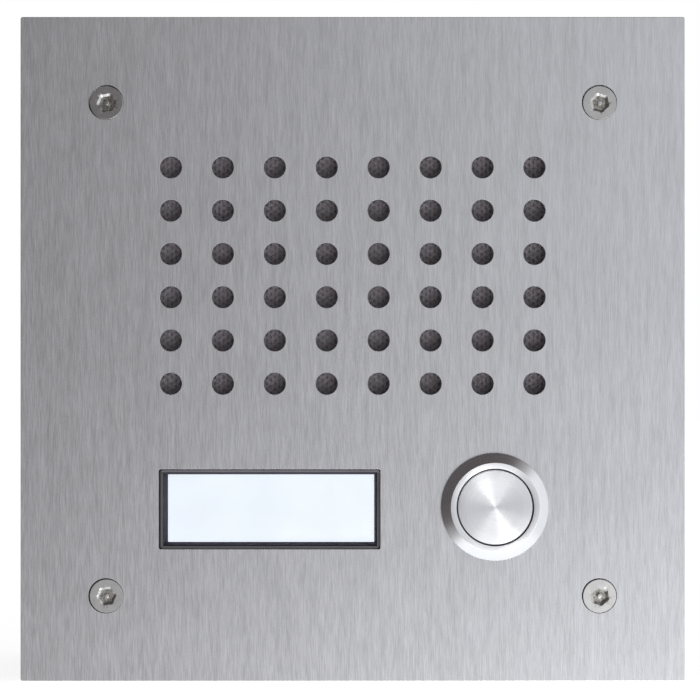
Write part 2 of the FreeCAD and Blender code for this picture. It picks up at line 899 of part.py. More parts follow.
def grille_mesh():
    """Fine mesh sheet over the sound holes, pierced for the studs."""
    body = new_body("grille_mesh", 0, 0, S.grille_height)
    width, height = BOARD_X_PITCH + S.mesh_margin * 2, S.board_z_pitch + S.mesh_margin * 2
    slab(body, PLATE_REAR, S.mesh_thickness, (0, 0), width, height)
    sketch = face_sketch(body, PLATE_REAR)
    for x, z, seat in stud_places():
        over_mesh = abs(z.value - S.grille_height.value) < height.value / 2
        if over_mesh:
            draw_circle(sketch, (x, z - S.grille_height), STUD_HOLE_RADIUS * 2)
    pocket(body, sketch, S.mesh_thickness)
    return body


def speaker_body(label):
    return new_body(label, SPEAKER[0], 0, SPEAKER[1])


def speaker_seal():
    body = speaker_body("speaker_seal")
    sketch = face_sketch(body, MESH_REAR)
    draw_circle(sketch, (0, 0), S.speaker_diameter)
    draw_circle(sketch, (0, 0), S.speaker_diameter - S.speaker_seal_width * 2)
    pad(body, sketch, S.speaker_seal_thickness)
    return body


def basket_inner():
    return S.speaker_diameter / 2 - S.basket_flange_width


def basket_bend():
    """The depth at which the basket's straight neck turns into its cone."""
    return FLANGE_FRONT + S.basket_straight


def basket_radius_at(depth):
    """The radius of the basket's cone, outside, at a depth."""
    wide, start = basket_inner() + S.basket_sheet, basket_bend() + S.basket_sheet / 2
    return wide - (wide - S.basket_rear_radius) * (depth - start) / (BASKET_REAR - start)


def speaker_basket():
    """Pressed basket: flange, straight neck, spoked cone, rear ring and the ledge for the tags."""
    body = speaker_body("speaker_basket")
    sheet, rim, inner = S.basket_sheet, S.speaker_diameter / 2, basket_inner()
    bend, rear, bore = basket_bend(), S.basket_rear_radius, coil_bore()
    revolve(
        body,
        [
            (inner, FLANGE_FRONT),
            (rim, FLANGE_FRONT),
            (rim, FLANGE_REAR),
            (inner + sheet, FLANGE_REAR),
            (inner + sheet, bend + sheet / 2),
            (rear, BASKET_REAR),
            (bore, BASKET_REAR),
            (bore, BASKET_REAR - sheet),
            (rear - sheet / 2, BASKET_REAR - sheet),
            (inner, bend),
        ],
    )
    window_front, window_rear = bend + sheet, BASKET_REAR - sheet - S.window_margin
    sketch = face_sketch(body, window_front)
    far, wide, narrow = inner - S.basket_rib, S.spoke_outer_half, S.spoke_inner_half
    draw_outline(sketch, [(rear, narrow), (far, wide), (wide, far), (narrow, rear)])
    window = pocket(body, sketch, window_rear - window_front)
    around(body, [window])

    ledge = tag_ledge()
    slab(body, ledge["front"], sheet, (0, ledge["centre"]), S.tag_strip_width, ledge["height"])
    return body


def tag_ledge():
    """Where the ledge for the solder tags stands: its front, its middle and its height."""
    height = S.tag_strip_height + S.ledge_margin * 2
    front = BASKET_REAR - S.ledge_setback
    centre = basket_radius_at(front) - S.ledge_overlap + height / 2
    return {"front": front, "height": height, "centre": centre}


def speaker_terminal_strip():
    ledge = tag_ledge()
    body = speaker_body("speaker_terminal_strip")
    rear = ledge["front"] + S.basket_sheet
    centre = ledge["centre"] + S.ledge_margin
    slab(body, rear, S.tag_strip_thickness, (0, centre), S.tag_strip_width, S.tag_strip_height)
    return body


def speaker_tags():
    """Two solder tags on the strip."""
    ledge = tag_ledge()
    body = speaker_body("speaker_tags")
    rear = ledge["front"] + S.basket_sheet + S.tag_strip_thickness
    centre = ledge["centre"] + S.ledge_margin
    tag = slab(body, rear, S.tag_thickness, (-S.tag_pitch / 2, centre), S.tag_width, S.tag_length)
    row(body, tag, "X_Axis", S.tag_pitch, 2)
    return body


def roll_outer():
    return basket_inner() - S.roll_gap


def cone_rim():
    return roll_outer() - S.roll_width


def speaker_surround():
    """Pressed ring that carries the cone, glued on the flange outside and on the cone inside."""
    body = speaker_body("speaker_surround")
    front, rear = FLANGE_FRONT - S.surround_thickness, FLANGE_FRONT
    outer, rim, wall, flank = roll_outer(), cone_rim(), S.surround_thickness, S.roll_flank
    crest, half = rear + S.roll_height, S.surround_thickness / 2
    revolve(
        body,
        [
            (S.speaker_diameter / 2, front),
            (S.speaker_diameter / 2, rear),
            (outer, rear),
            (outer - flank, crest),
            (rim + flank, crest),
            (rim, rear),
            (rim - S.surround_land, rear),
            (rim - S.surround_land, front),
            (rim + half, front),
            (rim + flank + half, crest - wall),
            (outer - flank - half, crest - wall),
            (outer - half, front),
        ],
    )
    return body


def cone_neck():
    return S.coil_radius + S.coil_former_wall


def speaker_cone():
    body = speaker_body("speaker_cone")
    front, wall = FLANGE_FRONT, S.cone_thickness
    rim, land, neck = cone_rim(), cone_rim() - S.surround_land, cone_neck()
    revolve(
        body,
        [
            (rim, front),
            (rim, front + wall),
            (land, front + wall),
            (neck, front + S.cone_depth + wall),
            (neck, front + S.cone_depth - wall / 2),
            (land - wall / 2, front),
        ],
    )
    return body


def cone_front_at(radius):
    """The depth of the cone's front surface at a radius."""
    half = S.cone_thickness / 2
    start, neck = cone_rim() - S.surround_land - half, cone_neck()
    return FLANGE_FRONT + (S.cone_depth - half) * (start - radius) / (start - neck)


def speaker_dust_cap():
    """Spherical cap over the voice coil, glued inside the cone."""
    body = speaker_body("speaker_dust_cap")
    edge, rise, wall = S.dust_cap_radius, S.dust_cap_rise, S.dust_cap_thickness
    base = cone_front_at(edge) - S.fit_clearance
    outer = (edge * edge + rise * rise) / (rise * 2)
    inner, centre = outer - wall, base - rise + outer
    below = centre - base
    inner_edge = root(inner * inner - below * below)
    middle = edge / 2
    outer_middle = centre - root(outer * outer - middle * middle)
    inner_middle = centre - root(inner * inner - middle * middle)
    revolve(
        body,
        [
            (0, centre - outer, middle, outer_middle),
            (edge, base),
            (inner_edge, base, middle, inner_middle),
            (0, centre - inner),
        ],
    )
    return body


def speaker_voice_coil():
    body = speaker_body("speaker_voice_coil")
    inner = S.coil_radius
    former = inner + S.coil_former_wall
    winding = former + S.coil_winding_wall
    front = FLANGE_FRONT + S.cone_depth
    rear = front + S.coil_length
    shoulder = rear - S.coil_winding_length
    outline = [(inner, front), (former, front), (former, shoulder), (winding, shoulder), (winding, rear)]
    revolve(body, outline + [(inner, rear)])
    return body


def coil_bore():
    """The radius of the opening round the winding."""
    return S.coil_radius + S.coil_former_wall + S.coil_winding_wall + S.coil_gap


def speaker_top_plate():
    body = speaker_body("speaker_top_plate")
    sketch = face_sketch(body, BASKET_REAR)
    draw_circle(sketch, (0, 0), S.top_plate_radius * 2)
    draw_circle(sketch, (0, 0), coil_bore() * 2)
    pad(body, sketch, S.top_plate_thickness)
    return body


def speaker_magnet():
    body = speaker_body("speaker_magnet")
    sketch = face_sketch(body, TOP_PLATE_REAR)
    draw_circle(sketch, (0, 0), S.magnet_radius * 2)
    draw_circle(sketch, (0, 0), S.magnet_bore_radius * 2)
    pad(body, sketch, S.magnet_thickness)
    return body


def speaker_yoke():
    """Rear plate with the pole that the voice coil slides over."""
    body = speaker_body("speaker_yoke")
    pole = S.coil_radius - S.coil_gap
    outer, rear = S.yoke_radius, MAGNET_REAR + S.yoke_thickness
    outline = [(0, BASKET_REAR), (pole, BASKET_REAR), (pole, MAGNET_REAR), (outer, MAGNET_REAR)]
    revolve(body, outline + [(outer, rear), (0, rear)])
    return body


def speaker_bushes():
    """Flanged bushes on the studs, whose heads clamp the speaker's rim."""
    x, z = SPEAKER[0] - SPEAKER_STUDS[0], SPEAKER[1] - SPEAKER_STUDS[1]
    body = new_body("speaker_bushes", x, 0, z)
    bore, stem, head = STUD_HOLE_RADIUS, S.bush_stem_diameter / 2, S.bush_head_diameter / 2
    rear = FLANGE_REAR + S.bush_head_thickness
    outline = [(bore, MESH_REAR), (stem, MESH_REAR), (stem, FLANGE_REAR), (head, FLANGE_REAR)]
    bush = revolve(body, outline + [(head, rear), (bore, rear)])
    grid(body, bush, SPEAKER_STUDS[0] * 2, SPEAKER_STUDS[1] * 2, 2, 2)
    return body


# Microphone --------------------------------------------------------------------------------------


def microphone_body(label):
    return new_body(label, MICROPHONE[0], 0, MICROPHONE[1])


def boot_radius():
    return S.capsule_diameter / 2 + S.fit_clearance + S.boot_wall


def microphone_capsule():
    body = microphone_body("microphone_capsule")
    disc(body, MESH_REAR + S.boot_front, S.capsule_length, (0, 0), S.capsule_diameter)
    return body


def microphone_boot():
    """Rubber boot that holds the capsule behind one sound hole."""
    body = microphone_body("microphone_boot")
    outer, pocket_radius = boot_radius(), S.capsule_diameter / 2 + S.fit_clearance
    port, floor, rear = S.boot_port_diameter / 2, MESH_REAR + S.boot_front, MESH_REAR + S.boot_length
    outline = [(port, MESH_REAR), (outer, MESH_REAR), (outer, rear), (pocket_radius, rear)]
    revolve(body, outline + [(pocket_radius, floor), (port, floor)])
    return body


def microphone_holder():
    """Cup over the boot on a bar that reaches a stud on each side."""
    body = microphone_body("microphone_holder")
    body.Placement.Rotation = FreeCAD.Rotation(FreeCAD.Vector(0, -1, 0), 0)
    reach_x, reach_z = MICROPHONE_STUD
    bind(body, "Placement.Rotation.Angle", slope(reach_z, reach_x))
    reach = root(reach_x * reach_x + reach_z * reach_z)
    length = reach * 2 + S.holder_bar_width
    slab(body, MESH_REAR, S.holder_bar_thickness, (0, 0), length, S.holder_bar_width)
    cup = boot_radius() + S.fit_clearance
    disc(body, MESH_REAR, S.boot_length + S.holder_rear, (0, 0), (cup + S.holder_wall) * 2)
    round_cut(body, MESH_REAR, S.boot_length, (0, 0), cup * 2)
    rear = MESH_REAR + S.boot_length
    round_cut(body, rear, S.holder_rear, (0, 0), S.holder_lead_hole)
    hole = round_cut(body, MESH_REAR, S.holder_bar_thickness, (-reach, 0), STUD_HOLE_RADIUS * 2)
    row(body, hole, "X_Axis", reach * 2, 2)
    return body


# Name-plate --------------------------------------------------------------------------------------


def nameplate_body(label):
    return new_body(label, NAMEPLATE[0], 0, NAMEPLATE[1])


def tray_size(wall=0):
    """Width and height of the tray's inside, less a clearance for what lies in it."""
    inset = S.nameplate_lip + S.nameplate_taper - S.lens_seat
    return S.nameplate_width - inset * 2 + wall * 2, S.nameplate_height - inset * 2 + wall * 2


def tray_piece(body, y, thickness):
    """A flat piece that lies in the tray with a small clearance all round."""
    width, height = tray_size()
    gap = S.fit_clearance * 2
    return slab(body, y, thickness, (0, 0), width - gap, height - gap)


def nameplate_frame():
    """Black moulding: a tapered rim through the plate, a flange with two ears, and a tray behind."""
    body = nameplate_body("nameplate_frame")
    front = PLATE_FRONT - S.nameplate_proud
    slab(body, front, PLATE_REAR - front, (0, 0), S.nameplate_width, S.nameplate_height)
    round_edges(body, S.nameplate_corner, across)

    flange_width = S.nameplate_width + S.nameplate_flange * 2
    flange_height = S.nameplate_height + S.nameplate_flange * 2
    flange = S.nameplate_flange_thickness
    slab(body, PLATE_REAR, flange, (0, 0), flange_width, flange_height)
    ears = NAMEPLATE_EAR_PITCH + S.nameplate_ear_width
    slab(body, PLATE_REAR, flange, (0, 0), ears, S.nameplate_ear_width)
    left_ear = (-NAMEPLATE_EAR_PITCH / 2, 0)
    hole = round_cut(body, PLATE_REAR, flange, left_ear, STUD_HOLE_RADIUS * 2)
    row(body, hole, "X_Axis", NAMEPLATE_EAR_PITCH, 2)

    width, height = tray_size(S.tray_wall)
    slab(body, PLATE_REAR, TRAY_REAR - PLATE_REAR, (0, 0), width, height)
    width, height = tray_size()
    square_cut(body, LENS_FRONT, TRAY_REAR - LENS_FRONT, (0, 0), width, height)

    lip, narrowing = S.nameplate_lip, S.nameplate_taper
    mouth, throat = face_sketch(body, front), face_sketch(body, LENS_FRONT)
    for sketch, inset in ((mouth, lip), (throat, lip + narrowing)):
        draw_rectangle(sketch, (0, 0), S.nameplate_width - inset * 2, S.nameplate_height - inset * 2)
    add_feature(body, "SubtractiveLoft", mouth, Sections=[(throat, [""])])
    return body


def nameplate_lens():
    body = nameplate_body("nameplate_lens")
    tray_piece(body, LENS_FRONT, S.lens_thickness)
    return body


def name_label():
    body = nameplate_body("name_label")
    tray_piece(body, LABEL_FRONT, S.label_thickness)
    return body


def label_diffuser():
    body = nameplate_body("label_diffuser")
    tray_piece(body, DIFFUSER_FRONT, S.diffuser_thickness)
    return body


def backlight_leds():
    body = nameplate_body("backlight_leds")
    led = slab(body, LED_FRONT, S.led_height, (-S.led_pitch, 0), S.led_length, S.led_width)
    row(body, led, "X_Axis", S.led_pitch * 2, 3)
    return body


def backlight_board():
    body = nameplate_body("backlight_board")
    tray_piece(body, LED_BOARD_FRONT, S.led_board_thickness)
    return body


def nameplate_back_cover():
    """Lid on the tray, with a step that presses on the light board."""
    body = nameplate_body("nameplate_back_cover")
    width, height = tray_size(S.tray_wall)
    slab(body, TRAY_REAR, S.back_cover_thickness, (0, 0), width, height)
    tray_piece(body, LED_BOARD_REAR, S.back_cover_step)
    return body


# Call button -------------------------------------------------------------------------------------


def button_body(label):
    return new_body(label, BUTTON[0], 0, BUTTON[1])


def cap_bore():
    return S.cap_diameter / 2 + S.cap_gap


def button_housing():
    """Turned bezel and threaded barrel: a bore for the cap, a web that guides its stem, a rear bore."""
    body = button_body("button_housing")
    bezel, ring = S.bezel_diameter / 2, S.ring_diameter / 2
    barrel, guide = S.barrel_diameter / 2, S.stem_diameter / 2 + S.stem_clearance
    rear_bore = S.rear_bore_diameter / 2
    revolve(
        body,
        [
            (cap_bore(), BEZEL_FRONT),
            (ring, BEZEL_FRONT),
            (bezel, BEZEL_REAR - S.bezel_edge),
            (bezel, BEZEL_REAR),
            (barrel, BEZEL_REAR),
            (barrel, BARREL_REAR),
            (rear_bore, BARREL_REAR),
            (rear_bore, WEB_REAR),
            (guide, WEB_REAR),
            (guide, WEB_FRONT),
            (cap_bore(), WEB_FRONT),
        ],
    )
    return body


def button_seal():
    """Flat rubber ring under the bezel."""
    body = button_body("button_seal")
    sketch = face_sketch(body, BEZEL_REAR)
    draw_circle(sketch, (0, 0), S.bezel_diameter - S.button_seal_inset * 2)
    draw_circle(sketch, (0, 0), S.barrel_diameter + S.fit_clearance * 2)
    pad(body, sketch, S.button_seal_thickness)
    return body


def button_nut():
    body = button_body("button_nut")
    sketch = face_sketch(body, PLATE_REAR)
    draw_hexagon(sketch, (0, 0), S.button_nut_flats)
    draw_circle(sketch, (0, 0), S.barrel_diameter + S.thread_clearance * 2)
    pad(body, sketch, S.button_nut_height)
    return body


def cap_groove():
    """The groove in the cap's side: the radius of its floor, and its front and rear."""
    width = S.cap_seal_width
    floor = cap_bore() - S.cap_seal_clearance - width
    middle = CAP_FRONT + S.cap_thickness / 2
    return floor, middle - width / 2, middle + width / 2


def button_cap():
    """Cap and stem in one, with a groove for the seal and another for the clip."""
    body = button_body("button_cap")
    cap, stem = S.cap_diameter / 2, S.stem_diameter / 2
    floor, groove_front, groove_rear = cap_groove()
    clip_front, clip_floor = WEB_REAR, stem - S.clip_groove_depth
    clip_rear = clip_front + S.clip_thickness + S.fit_clearance
    revolve(
        body,
        [
            (0, CAP_FRONT),
            (cap - S.cap_edge, CAP_FRONT),
            (cap, CAP_FRONT + S.cap_edge),
            (cap, groove_front),
            (floor, groove_front),
            (floor, groove_rear),
            (cap, groove_rear),
            (cap, CAP_REAR),
            (stem, CAP_REAR),
            (stem, clip_front),
            (clip_floor, clip_front),
            (clip_floor, clip_rear),
            (stem, clip_rear),
            (stem, STEM_REAR),
            (0, STEM_REAR),
        ],
    )
    return body


def cap_seal():
    """Square-section rubber ring in the cap's groove."""
    body = button_body("cap_seal")
    floor, front, _ = cap_groove()
    sketch = face_sketch(body, front)
    draw_circle(sketch, (0, 0), (floor + S.cap_seal_width) * 2)
    draw_circle(sketch, (0, 0), floor * 2)
    pad(body, sketch, S.cap_seal_width)
    return body


def return_spring():
    """Compression spring between the cap and the web."""
    body = button_body("return_spring")
    wire = S.spring_wire
    sketch = turning_sketch(body)
    first = CAP_REAR + S.spring_seat_gap
    inner, outer = S.spring_diameter / 2 - wire, S.spring_diameter / 2
    draw_outline(sketch, [(inner, first), (outer, first), (outer, first + wire), (inner, first + wire)])
    add_feature(
        body,
        "AdditiveHelix",
        sketch,
        ReferenceAxis=(sketch, ["V_Axis"]),
        Mode="height-turns-angle",
        Height=S.spring_space - wire - S.spring_seat_gap * 2,
        Turns=S.spring_turns,
        Angle=0,
    )
    return body


def cap_clip():
    """Slotted clip in the stem's groove, which stops the cap against the web."""
    body = button_body("cap_clip")
    inner = S.stem_diameter / 2 - S.clip_groove_depth + S.fit_clearance
    front = WEB_REAR + S.fit_clearance
    sketch = face_sketch(body, front)
    draw_circle(sketch, (0, 0), S.clip_diameter)
    draw_circle(sketch, (0, 0), inner * 2)
    pad(body, sketch, S.clip_thickness - S.fit_clearance)
    mouth_centre = (0, -S.clip_diameter / 2)
    square_cut(body, front, S.clip_thickness, mouth_centre, S.clip_mouth, S.clip_diameter)
    return body


def moving_contact():
    """Brass disc on the end of the stem, which bridges the two terminals."""
    body = button_body("moving_contact")
    disc(body, STEM_REAR, S.contact_thickness, (0, 0), S.contact_diameter)
    return body


def block_front():
    """The contact block lies half inside the barrel."""
    return BARREL_REAR - S.block_length / 2


def contact_block():
    """Insulator in the rear of the barrel, slotted for the terminals."""
    body = button_body("contact_block")
    disc(body, block_front(), S.block_length, (0, 0), S.rear_bore_diameter - S.fit_clearance * 2)
    width, thickness = S.terminal_thickness + S.fit_clearance * 2, S.terminal_width + S.fit_clearance * 2
    slot = square_cut(body, block_front(), S.block_length, (-S.terminal_pitch / 2, 0), width, thickness)
    row(body, slot, "X_Axis", S.terminal_pitch, 2)
    return body


def contact_terminals():
    """Two flat terminals, whose front ends the moving contact meets."""
    body = button_body("contact_terminals")
    length = block_front() + S.block_length + S.terminal_length - TERMINAL_FRONT
    centre = (-S.terminal_pitch / 2, 0)
    blade = slab(body, TERMINAL_FRONT, length, centre, S.terminal_thickness, S.terminal_width)
    row(body, blade, "X_Axis", S.terminal_pitch, 2)
    return body


# Circuit board -----------------------------------------------------------------------------------


def board_standoffs():
    """Hexagonal pillars screwed on the studs, which clamp the mesh and carry the board."""
    body = new_body("board_standoffs", -BOARD_STUDS[0], 0, S.grille_height - BOARD_STUDS[1])
    sketch = face_sketch(body, MESH_REAR)
    draw_hexagon(sketch, (0, 0), S.nut_flats)
    draw_circle(sketch, (0, 0), S.stud_diameter + S.thread_clearance * 2)
    pillar = pad(body, sketch, S.board_stand)
    grid(body, pillar, BOARD_X_PITCH, S.board_z_pitch, 2, 2)
    return body


def main_board():
    body = new_body("main_board", 0, 0, S.grille_height)
    slab(body, BOARD_FRONT, S.board_thickness, (0, 0), BOARD_WIDTH, BOARD_HEIGHT)
    corner = (-BOARD_STUDS[0], -BOARD_STUDS[1])
    hole = round_cut(body, BOARD_FRONT, S.board_thickness, corner, STUD_HOLE_RADIUS * 2)
    grid(body, hole, BOARD_X_PITCH, S.board_z_pitch, 2, 2)
    return body


def board_screws():
    body = new_body("board_screws", -BOARD_STUDS[0], 0, S.grille_height - BOARD_STUDS[1])
    shank, head = S.stud_diameter / 2, S.board_screw_head_diameter / 2
    tip, top = BOARD_REAR - S.board_screw_length, BOARD_REAR + S.board_screw_head_height
    outline = [(0, tip), (shank, tip), (shank, BOARD_REAR), (head, BOARD_REAR), (head, top), (0, top)]
    screw = revolve(body, outline)
    grid(body, screw, BOARD_X_PITCH, S.board_z_pitch, 2, 2)
    return body


def terminal_block():
    """Screw terminal block at the board's lower edge, its wire ports facing down."""
    body = new_body("terminal_block", S.block_x, BOARD_REAR, BOARD_BOTTOM + S.block_inset)
    length = S.way_pitch * S.block_ways
    slab(body, 0, S.block_height, (length / 2, S.block_depth / 2), length, S.block_depth)
    last = S.way_pitch * (S.block_ways - 1)
    middle = S.way_pitch / 2
    seat = S.block_height - S.terminal_screw_height
    centre = (middle, S.block_depth / 2)
    well_width = S.terminal_screw_diameter + S.fit_clearance * 2
    well = round_cut(body, seat, S.terminal_screw_height, centre, well_width)
    row(body, well, "X_Axis", last, S.block_ways)

    sketch = new_sketch(body, "XY_Plane", 0)
    draw_rectangle(sketch, (middle, S.block_height / 2 - S.wire_port / 2), S.wire_port, S.wire_port)
    port = add_feature(body, "Pocket", sketch, Length=S.wire_port_depth, Reversed=True)
    row(body, port, "X_Axis", last, S.block_ways)
    return body


def terminal_screws():
    x, z = S.block_x + S.way_pitch / 2, BOARD_BOTTOM + S.block_inset + S.block_depth / 2
    body = new_body("terminal_screws", x, BOARD_REAR, z)
    seat = S.block_height - S.terminal_screw_height
    screw = disc(body, seat, S.terminal_screw_height, (0, 0), S.terminal_screw_diameter)
    row(body, screw, "X_Axis", S.way_pitch * (S.block_ways - 1), S.block_ways)
    return body


def amplifier_chip():
    """Dual-in-line chip: a body between two rows of legs."""
    body = new_body("amplifier_chip", S.chip_x, BOARD_REAR, S.chip_z)
    stand = S.chip_pin_height / 2
    slab(body, stand, S.chip_height, (0, 0), S.chip_length, S.chip_width)
    span = S.chip_pin_pitch * (S.chip_pins - 1)
    leg = slab(body, 0, S.chip_pin_height, (-span / 2, 0), S.chip_pin_width, S.chip_span)
    row(body, leg, "X_Axis", span, S.chip_pins)
    return body


def capacitors():
    body = new_body("capacitors", S.capacitor_x, BOARD_REAR, S.capacitor_z)
    can = disc(body, 0, S.capacitor_height, (0, 0), S.capacitor_diameter)
    row(body, can, "X_Axis", S.capacitor_pitch * (S.capacitor_count - 1), S.capacitor_count)
    return body


def board_headers():
    """Plug headers for the speaker, the microphone, the button and the light."""
    body = new_body("board_headers", S.header_inset - BOARD_WIDTH / 2, BOARD_REAR, S.header_z)
    span = S.header_pitch * (S.header_count - 1)
    shell = slab(body, 0, S.header_height, (0, 0), S.header_width, S.header_length)
    row(body, shell, "Z_Axis", span, S.header_count)
    floor = S.header_height - S.header_depth
    width, length = S.header_width - S.header_wall * 2, S.header_length - S.header_wall * 2
    socket = square_cut(body, floor, S.header_depth, (0, 0), width, length)
    row(body, socket, "Z_Axis", span, S.header_count)
    return body


def trimmer(label, z):
    """Square trimmer housing with a round well for its rotor."""
    body = new_body(label, S.trimmer_x, BOARD_REAR, z)
    slab(body, 0, S.trimmer_height, (0, 0), S.trimmer_width, S.trimmer_width)
    depth = S.rotor_height - S.rotor_proud
    well = S.rotor_diameter + S.rotor_clearance * 2
    round_cut(body, S.trimmer_height - depth, depth, (0, 0), well)
    return body


def trimmer_rotor(label, z):
    """Slotted rotor that a screwdriver turns."""
    body = new_body(label, S.trimmer_x, BOARD_REAR, z)
    top = S.trimmer_height + S.rotor_proud
    disc(body, top - S.rotor_height, S.rotor_height, (0, 0), S.rotor_diameter)
    slot_floor = top - S.rotor_slot_depth
    length = S.rotor_diameter + S.rotor_clearance * 2
    square_cut(body, slot_floor, S.rotor_slot_depth, (0, 0), S.rotor_slot_width, length)
    return body


# Assembly ----------------------------------------------------------------------------------------

SUBPARTS = [
    front_plate(),
    wall_seal(),
    cover_screws(),
    back_box(),
    box_inserts(),
    cable_grommet(),
    weld_studs(),
    stud_nuts(),
    earth_stud(),
    earth_nuts(),
    grille_mesh(),
    speaker_seal(),
    speaker_surround(),
    speaker_cone(),
    speaker_dust_cap(),
    speaker_voice_coil(),
    speaker_basket(),
    speaker_terminal_strip(),
    speaker_tags(),
    speaker_top_plate(),
    speaker_magnet(),
    speaker_yoke(),
    speaker_bushes(),
    microphone_capsule(),
    microphone_boot(),
    microphone_holder(),
    nameplate_frame(),
    nameplate_lens(),
    name_label(),
    label_diffuser(),
    backlight_leds(),
    backlight_board(),
    nameplate_back_cover(),
    button_housing(),
    button_seal(),
    button_nut(),
    button_cap(),
    cap_seal(),
    return_spring(),
    cap_clip(),
    moving_contact(),
    contact_block(),
    contact_terminals(),
    board_standoffs(),
    main_board(),
    board_screws(),
    terminal_block(),
    terminal_screws(),
    amplifier_chip(),
    capacitors(),
    board_headers(),
    trimmer("volume_trimmer", S.volume_trimmer_z),
    trimmer_rotor("volume_rotor", S.volume_trimmer_z),
    trimmer("microphone_trimmer", S.microphone_trimmer_z),
    trimmer_rotor("microphone_rotor", S.microphone_trimmer_z),
]

DOC.recompute()
for thing in DOC.Objects:
    if "Invalid" in thing.State or "Error" in thing.State:
        raise RuntimeError(f"{thing.Label} failed: {thing.State}")
for subpart in SUBPARTS:
    if subpart.Shape.isNull() or not subpart.Shape.isValid():
        raise RuntimeError(f"{subpart.Label} has no valid shape")

os.makedirs("parts", exist_ok=True)
for subpart in SUBPARTS:
    subpart.Shape.exportStep(os.path.join("parts", f"{subpart.Label}.step"))
print(f"{len(SUBPARTS)} sub-parts written")
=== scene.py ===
"""Flush door intercom panel: steel plate with sound holes, name window and call button, on a wall box."""

import json
import logging
import math
from collections.abc import Callable, Sequence
from dataclasses import dataclass
from enum import Enum
from typing import Self

import bmesh
import bpy
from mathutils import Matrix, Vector

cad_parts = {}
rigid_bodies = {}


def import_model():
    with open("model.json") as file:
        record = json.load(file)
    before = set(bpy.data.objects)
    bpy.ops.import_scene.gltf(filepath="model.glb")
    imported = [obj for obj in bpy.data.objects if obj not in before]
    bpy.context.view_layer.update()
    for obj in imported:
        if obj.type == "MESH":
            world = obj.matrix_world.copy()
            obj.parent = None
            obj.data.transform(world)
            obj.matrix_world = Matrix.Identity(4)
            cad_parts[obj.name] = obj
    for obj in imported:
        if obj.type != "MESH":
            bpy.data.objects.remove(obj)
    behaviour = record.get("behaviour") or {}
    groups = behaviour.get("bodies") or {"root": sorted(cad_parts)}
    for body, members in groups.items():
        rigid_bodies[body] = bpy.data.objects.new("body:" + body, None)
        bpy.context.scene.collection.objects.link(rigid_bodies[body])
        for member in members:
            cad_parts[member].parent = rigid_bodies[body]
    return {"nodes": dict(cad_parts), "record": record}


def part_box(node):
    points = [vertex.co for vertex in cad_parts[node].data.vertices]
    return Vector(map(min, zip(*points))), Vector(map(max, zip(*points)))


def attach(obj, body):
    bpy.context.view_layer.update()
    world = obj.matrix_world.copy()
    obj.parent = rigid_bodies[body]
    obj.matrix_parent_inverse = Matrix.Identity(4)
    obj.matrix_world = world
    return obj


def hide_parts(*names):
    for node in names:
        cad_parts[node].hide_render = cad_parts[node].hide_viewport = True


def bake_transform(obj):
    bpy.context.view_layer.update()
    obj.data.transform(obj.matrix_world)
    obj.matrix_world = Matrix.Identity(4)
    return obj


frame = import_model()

log = logging.getLogger("intercom")

MM = 0.001
RIGHT_ANGLE = math.pi / 2
HOME = Vector((0, 0, 0))
BUTTON_AXIS = (0.0328, 0.0, -0.0364)
ON_PLANE = 0.01 * MM
WHOLE = (0.0, 1.0)
CLOUD_RANGE = (0.35, 0.65)
SPECK_RANGE = (0.3, 0.7)
QUARTER_ROUND = ((0.5, 0.134), (0.366, 0.366), (0.134, 0.5))

Colour = tuple[float, float, float]
Triple = tuple[float, float, float]
Span = tuple[float, float]
Profile = list[tuple[float, float]]
Test = Callable[..., bool]


class Body(Enum):
    """The bodies of the frame that new pieces ride on."""

    PANEL = "panel"
    CALL_BUTTON = "call_button"
    DIAPHRAGM = "speaker_diaphragm"


class Grain(Enum):
    """The way in which a metal surface was worked."""

    UPRIGHT = "brushed up and down"
    ROUND = "turned about an axis"


class Pick(Enum):
    """The kind of mesh element that an edit works on: its select mode, and its list in the mesh."""

    VERTEX = ("VERT", "verts")
    EDGE = ("EDGE", "edges")
    FACE = ("FACE", "faces")


# Work on the bench --------------------------------------------------------------------------------


def clear_selection() -> None:
    """Leave edit mode and deselect every object."""
    if bpy.context.object and bpy.context.object.mode != "OBJECT":
        bpy.ops.object.mode_set(mode="OBJECT")
    for item in bpy.context.view_layer.objects:
        item.select_set(False)


def stretch(across: float, up: float, centre: Vector = HOME) -> None:
    """Stretch what is selected along X and Z about a centre, which is in metres."""
    bpy.ops.transform.resize(value=(across, 1, up), center_override=centre)


def pull(rise: float) -> None:
    """Extrude what is selected out of the wall, by millimetres."""
    bpy.ops.mesh.extrude_region_move(TRANSFORM_OT_translate={"value": (0, -rise * MM, 0)})


def looks_out(face: bmesh.types.BMFace | bpy.types.MeshPolygon) -> bool:
    """Tell whether a face looks out of the wall."""
    return face.normal.y < -0.9


def runs_deep(edge: bmesh.types.BMEdge) -> bool:
    """Tell whether an edge runs along the depth."""
    return abs((edge.verts[0].co - edge.verts[1].co).normalized().y) > 0.9


def on_front(front: float) -> Test:
    """Make the test for edges on a front face, from the face's depth in metres."""
    return lambda edge: all(vertex.co.y < front + ON_PLANE for vertex in edge.verts)


def soften(points: Profile, radius: float, corners: Sequence[int], steps: int = 4) -> Profile:
    """Round some corners of a profile with small arcs.

    Args:
        points: The profile's corners, each a radius and a depth in millimetres.
        radius: The distance from a corner at which its rounding starts.
        corners: The places in the list of the corners to round.
        steps: The number of runs that make one rounding.

    Returns:
        The profile with its rounded corners.
    """
    rounded: Profile = []
    for place, corner in enumerate(points):
        if place not in corners:
            rounded.append(corner)
            continue
        here = Vector(corner)
        before = (Vector(points[place - 1]) - here).normalized() * radius + here
        after = (Vector(points[(place + 1) % len(points)]) - here).normalized() * radius + here
        for step in range(steps + 1):
            share = step / steps
            point = before * (1 - share) ** 2 + here * 2 * share * (1 - share) + after * share**2
            rounded.append((point.x, point.y))
    return rounded


